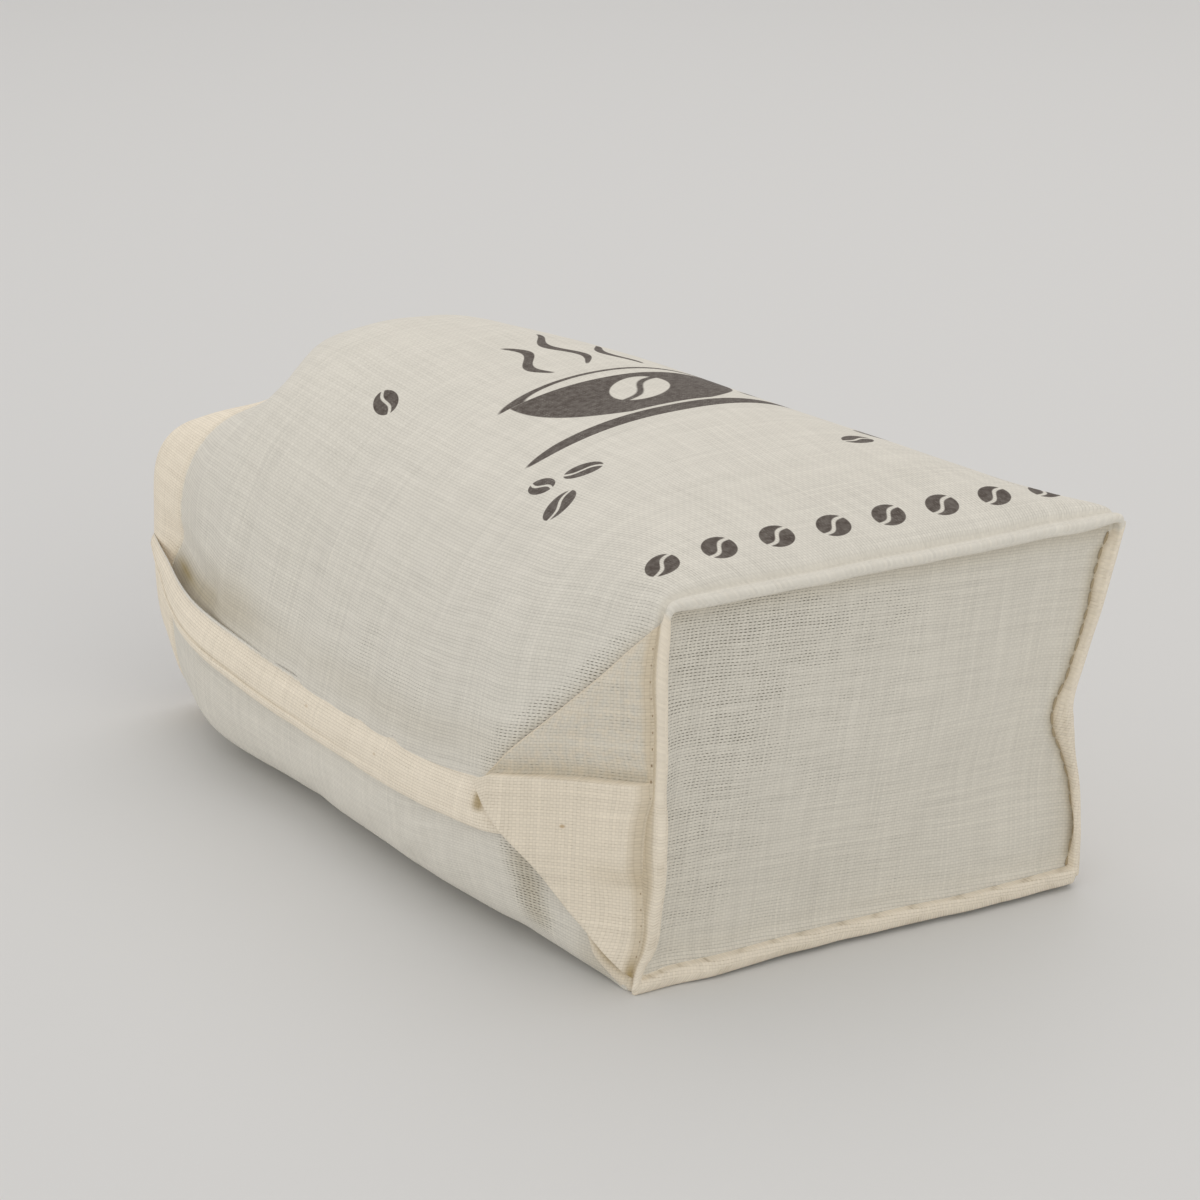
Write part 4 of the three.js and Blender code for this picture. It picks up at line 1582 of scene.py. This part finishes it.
class MUSLINBAG_OT_seam_bands(Operator):
    """Makes the two seam bands along the sides"""

    bl_idname = "muslin_bag.seam_bands"
    bl_label = "Seam bands"

    def execute(self, context):
        for end, side in SIDES:
            loops, maps, values = seam_band(side)
            finish = weave("layered_muslin_weave", printed=False)
            piece = loft(f"seam_band_{end}", loops, doubled(maps), values, finish)
            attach(piece, BODY)
            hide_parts(f"side_seam_{end}")
        return {"FINISHED"}


class MUSLINBAG_OT_corner_flaps(Operator):
    """Makes the two corner flaps folded up on the sides"""

    bl_idname = "muslin_bag.corner_flaps"
    bl_label = "Corner flaps"

    def execute(self, context):
        for end, side in SIDES:
            loops, maps, values = flap_loops(side)
            finish = weave("layered_muslin_weave", printed=False)
            piece = loft(f"corner_flap_cloth_{end}", loops, doubled(maps), values, finish, narrow=True)
            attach(piece, BODY)
            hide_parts(f"corner_flap_{end}")
        return {"FINISHED"}


class MUSLINBAG_OT_stitches(Operator):
    """Sews the rows of stitches on the rim and the hem"""

    bl_idname = "muslin_bag.stitches"
    bl_label = "Stitches"

    def execute(self, context):
        sewing = settings().stitch
        tree = stitch_rule()
        cotton = thread("cotton_thread", sewing.cotton)
        # The needle holes are drawn as dark grains, painted shade that stands in for the inside of the holes.
        hole = thread("needle_holes", sewing.hole)
        # A darker copy of the cotton paints the shade on the stitches in the right rim's fold.
        deep = thread("shaded_thread", sewing.deep)
        holes = {"Length": 0.00055, "Width": 0.00042, "Height": 0.0002, "Slant": 0.0, "Cotton": hole}
        shaded_dashes = {"Length": 0.0025, "Width": 0.00055, "Height": 0.0003, "Slant": 0.0, "Cotton": deep}
        slanted = {"Length": 0.0016, "Width": 0.00024, "Height": 0.00012, "Slant": 0.05, "Cotton": cotton}
        plain = {"Length": 0.0020, "Width": 0.00026, "Height": 0.0002, "Slant": 0.0, "Cotton": cotton}
        rows = (
            ("needle_holes_left", side_row(-1), holes),
            ("needle_holes_right", side_row(1), holes),
            ("stitches_right_foot", foot_row(RIGHT_FOOT, 0.05, 0.1), shaded_dashes),
            ("stitches_lower_foot", foot_row(LOWER_FOOT, -0.1, 0.12), slanted),
            ("stitches_hem", hem_row(), plain),
        )
        for name, (points, outward), sizes in rows:
            sizes = {"Pitch": sewing.pitch, "Seed": sewing.seed} | sizes
            row = stitch_row(name, tree, points, outward, sizes)
            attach(row, BODY)
        return {"FINISHED"}


# The camera: its place in metres, how far it looks down and turns, in degrees, and its sensor in millimetres.
CAMERA_PLACE = (-0.27877, -0.47290, 0.22748)
CAMERA_PITCH = 19.204
CAMERA_TURN = -30.778
SENSOR_WIDTH = 36.0
SKY_COLOUR = (1.0, 0.985, 0.965, 1.0)


def area_light(name, place, turn, size, power, colour):
    """A rectangular light: place and size in metres, turn in degrees."""
    light = bpy.data.lights.new(name, "AREA")
    light.shape = "RECTANGLE"
    light.size, light.size_y = size
    light.energy = power
    light.color = colour
    lamp = linked(name, light)
    lamp.location = place
    lamp.rotation_euler = [math.radians(angle) for angle in turn]


class MUSLINBAG_OT_stage(Operator):
    """Makes the floor, the lights and the camera"""

    bl_idname = "muslin_bag.stage"
    bl_label = "Stage"

    def execute(self, context):
        stage = settings().stage
        scene = context.scene
        half = stage.floor_size / 2
        mesh = bpy.data.meshes.new("floor")
        corners = [(-half, -half, 0.0), (half, -half, 0.0), (half, half, 0.0), (-half, half, 0.0)]
        mesh.from_pydata(corners, [], [(0, 1, 2, 3)])
        floor = linked("floor", mesh)
        pale = Finish("pale_table")
        pale.feed(Base_Color=opaque(stage.table), Roughness=0.55, Specular_IOR_Level=0.3)
        mesh.materials.append(pale.material)
        world = bpy.data.worlds.new("soft_room")
        world.use_nodes = True
        sky = world.node_tree.nodes["Background"]
        sky.inputs["Color"].default_value = SKY_COLOUR
        sky.inputs["Strength"].default_value = stage.sky
        scene.world = world
        area_light("overhead", (0.35, 0.35, 1.1), (-18, 17, 0), (1.3, 1.3), stage.key, (1.0, 0.965, 0.96))
        area_light("front", (-0.1, -1.3, 0.7), (62, 0, -4), (0.9, 0.7), stage.fill, (0.965, 0.985, 0.965))
        area_light("left", (-1.1, 0.05, 0.13), (0, -88, 0), (0.22, 0.8), stage.side, (0.95, 0.98, 1.0))
        camera = bpy.data.cameras.new("camera")
        camera.lens = stage.lens
        camera.sensor_width = SENSOR_WIDTH
        eye = linked("camera", camera)
        eye.location = CAMERA_PLACE
        eye.rotation_euler = (math.radians(90 - CAMERA_PITCH), 0.0, math.radians(CAMERA_TURN))
        scene.camera = eye
        scene.view_settings.view_transform = "Standard"
        return {"FINISHED"}


class MUSLINBAG_PT_panel(Panel):
    """Lists the bag's pieces and its stage"""

    bl_idname = "MUSLINBAG_PT_panel"
    bl_label = "Muslin bag"
    bl_space_type = "VIEW_3D"
    bl_region_type = "UI"
    bl_category = "Muslin bag"

    def draw(self, context):
        for operator in OPERATORS:
            self.layout.operator(operator.bl_idname)


OPERATORS = (
    MUSLINBAG_OT_stage,
    MUSLINBAG_OT_body,
    MUSLINBAG_OT_seam_bands,
    MUSLINBAG_OT_corner_flaps,
    MUSLINBAG_OT_stitches,
)
CLASSES = (ClothSettings, StitchSettings, StageSettings, BagSettings) + OPERATORS + (MUSLINBAG_PT_panel,)


def register():
    for cls in CLASSES:
        bpy.utils.register_class(cls)
    bpy.types.Scene.muslin_bag = PointerProperty(type=BagSettings)


def unregister():
    del bpy.types.Scene.muslin_bag
    for cls in reversed(CLASSES):
        bpy.utils.unregister_class(cls)


def main():
    register()
    bpy.ops.muslin_bag.stage()
    bpy.ops.muslin_bag.body()
    bpy.ops.muslin_bag.seam_bands()
    bpy.ops.muslin_bag.corner_flaps()
    bpy.ops.muslin_bag.stitches()


if __name__ == "__main__":
    main()
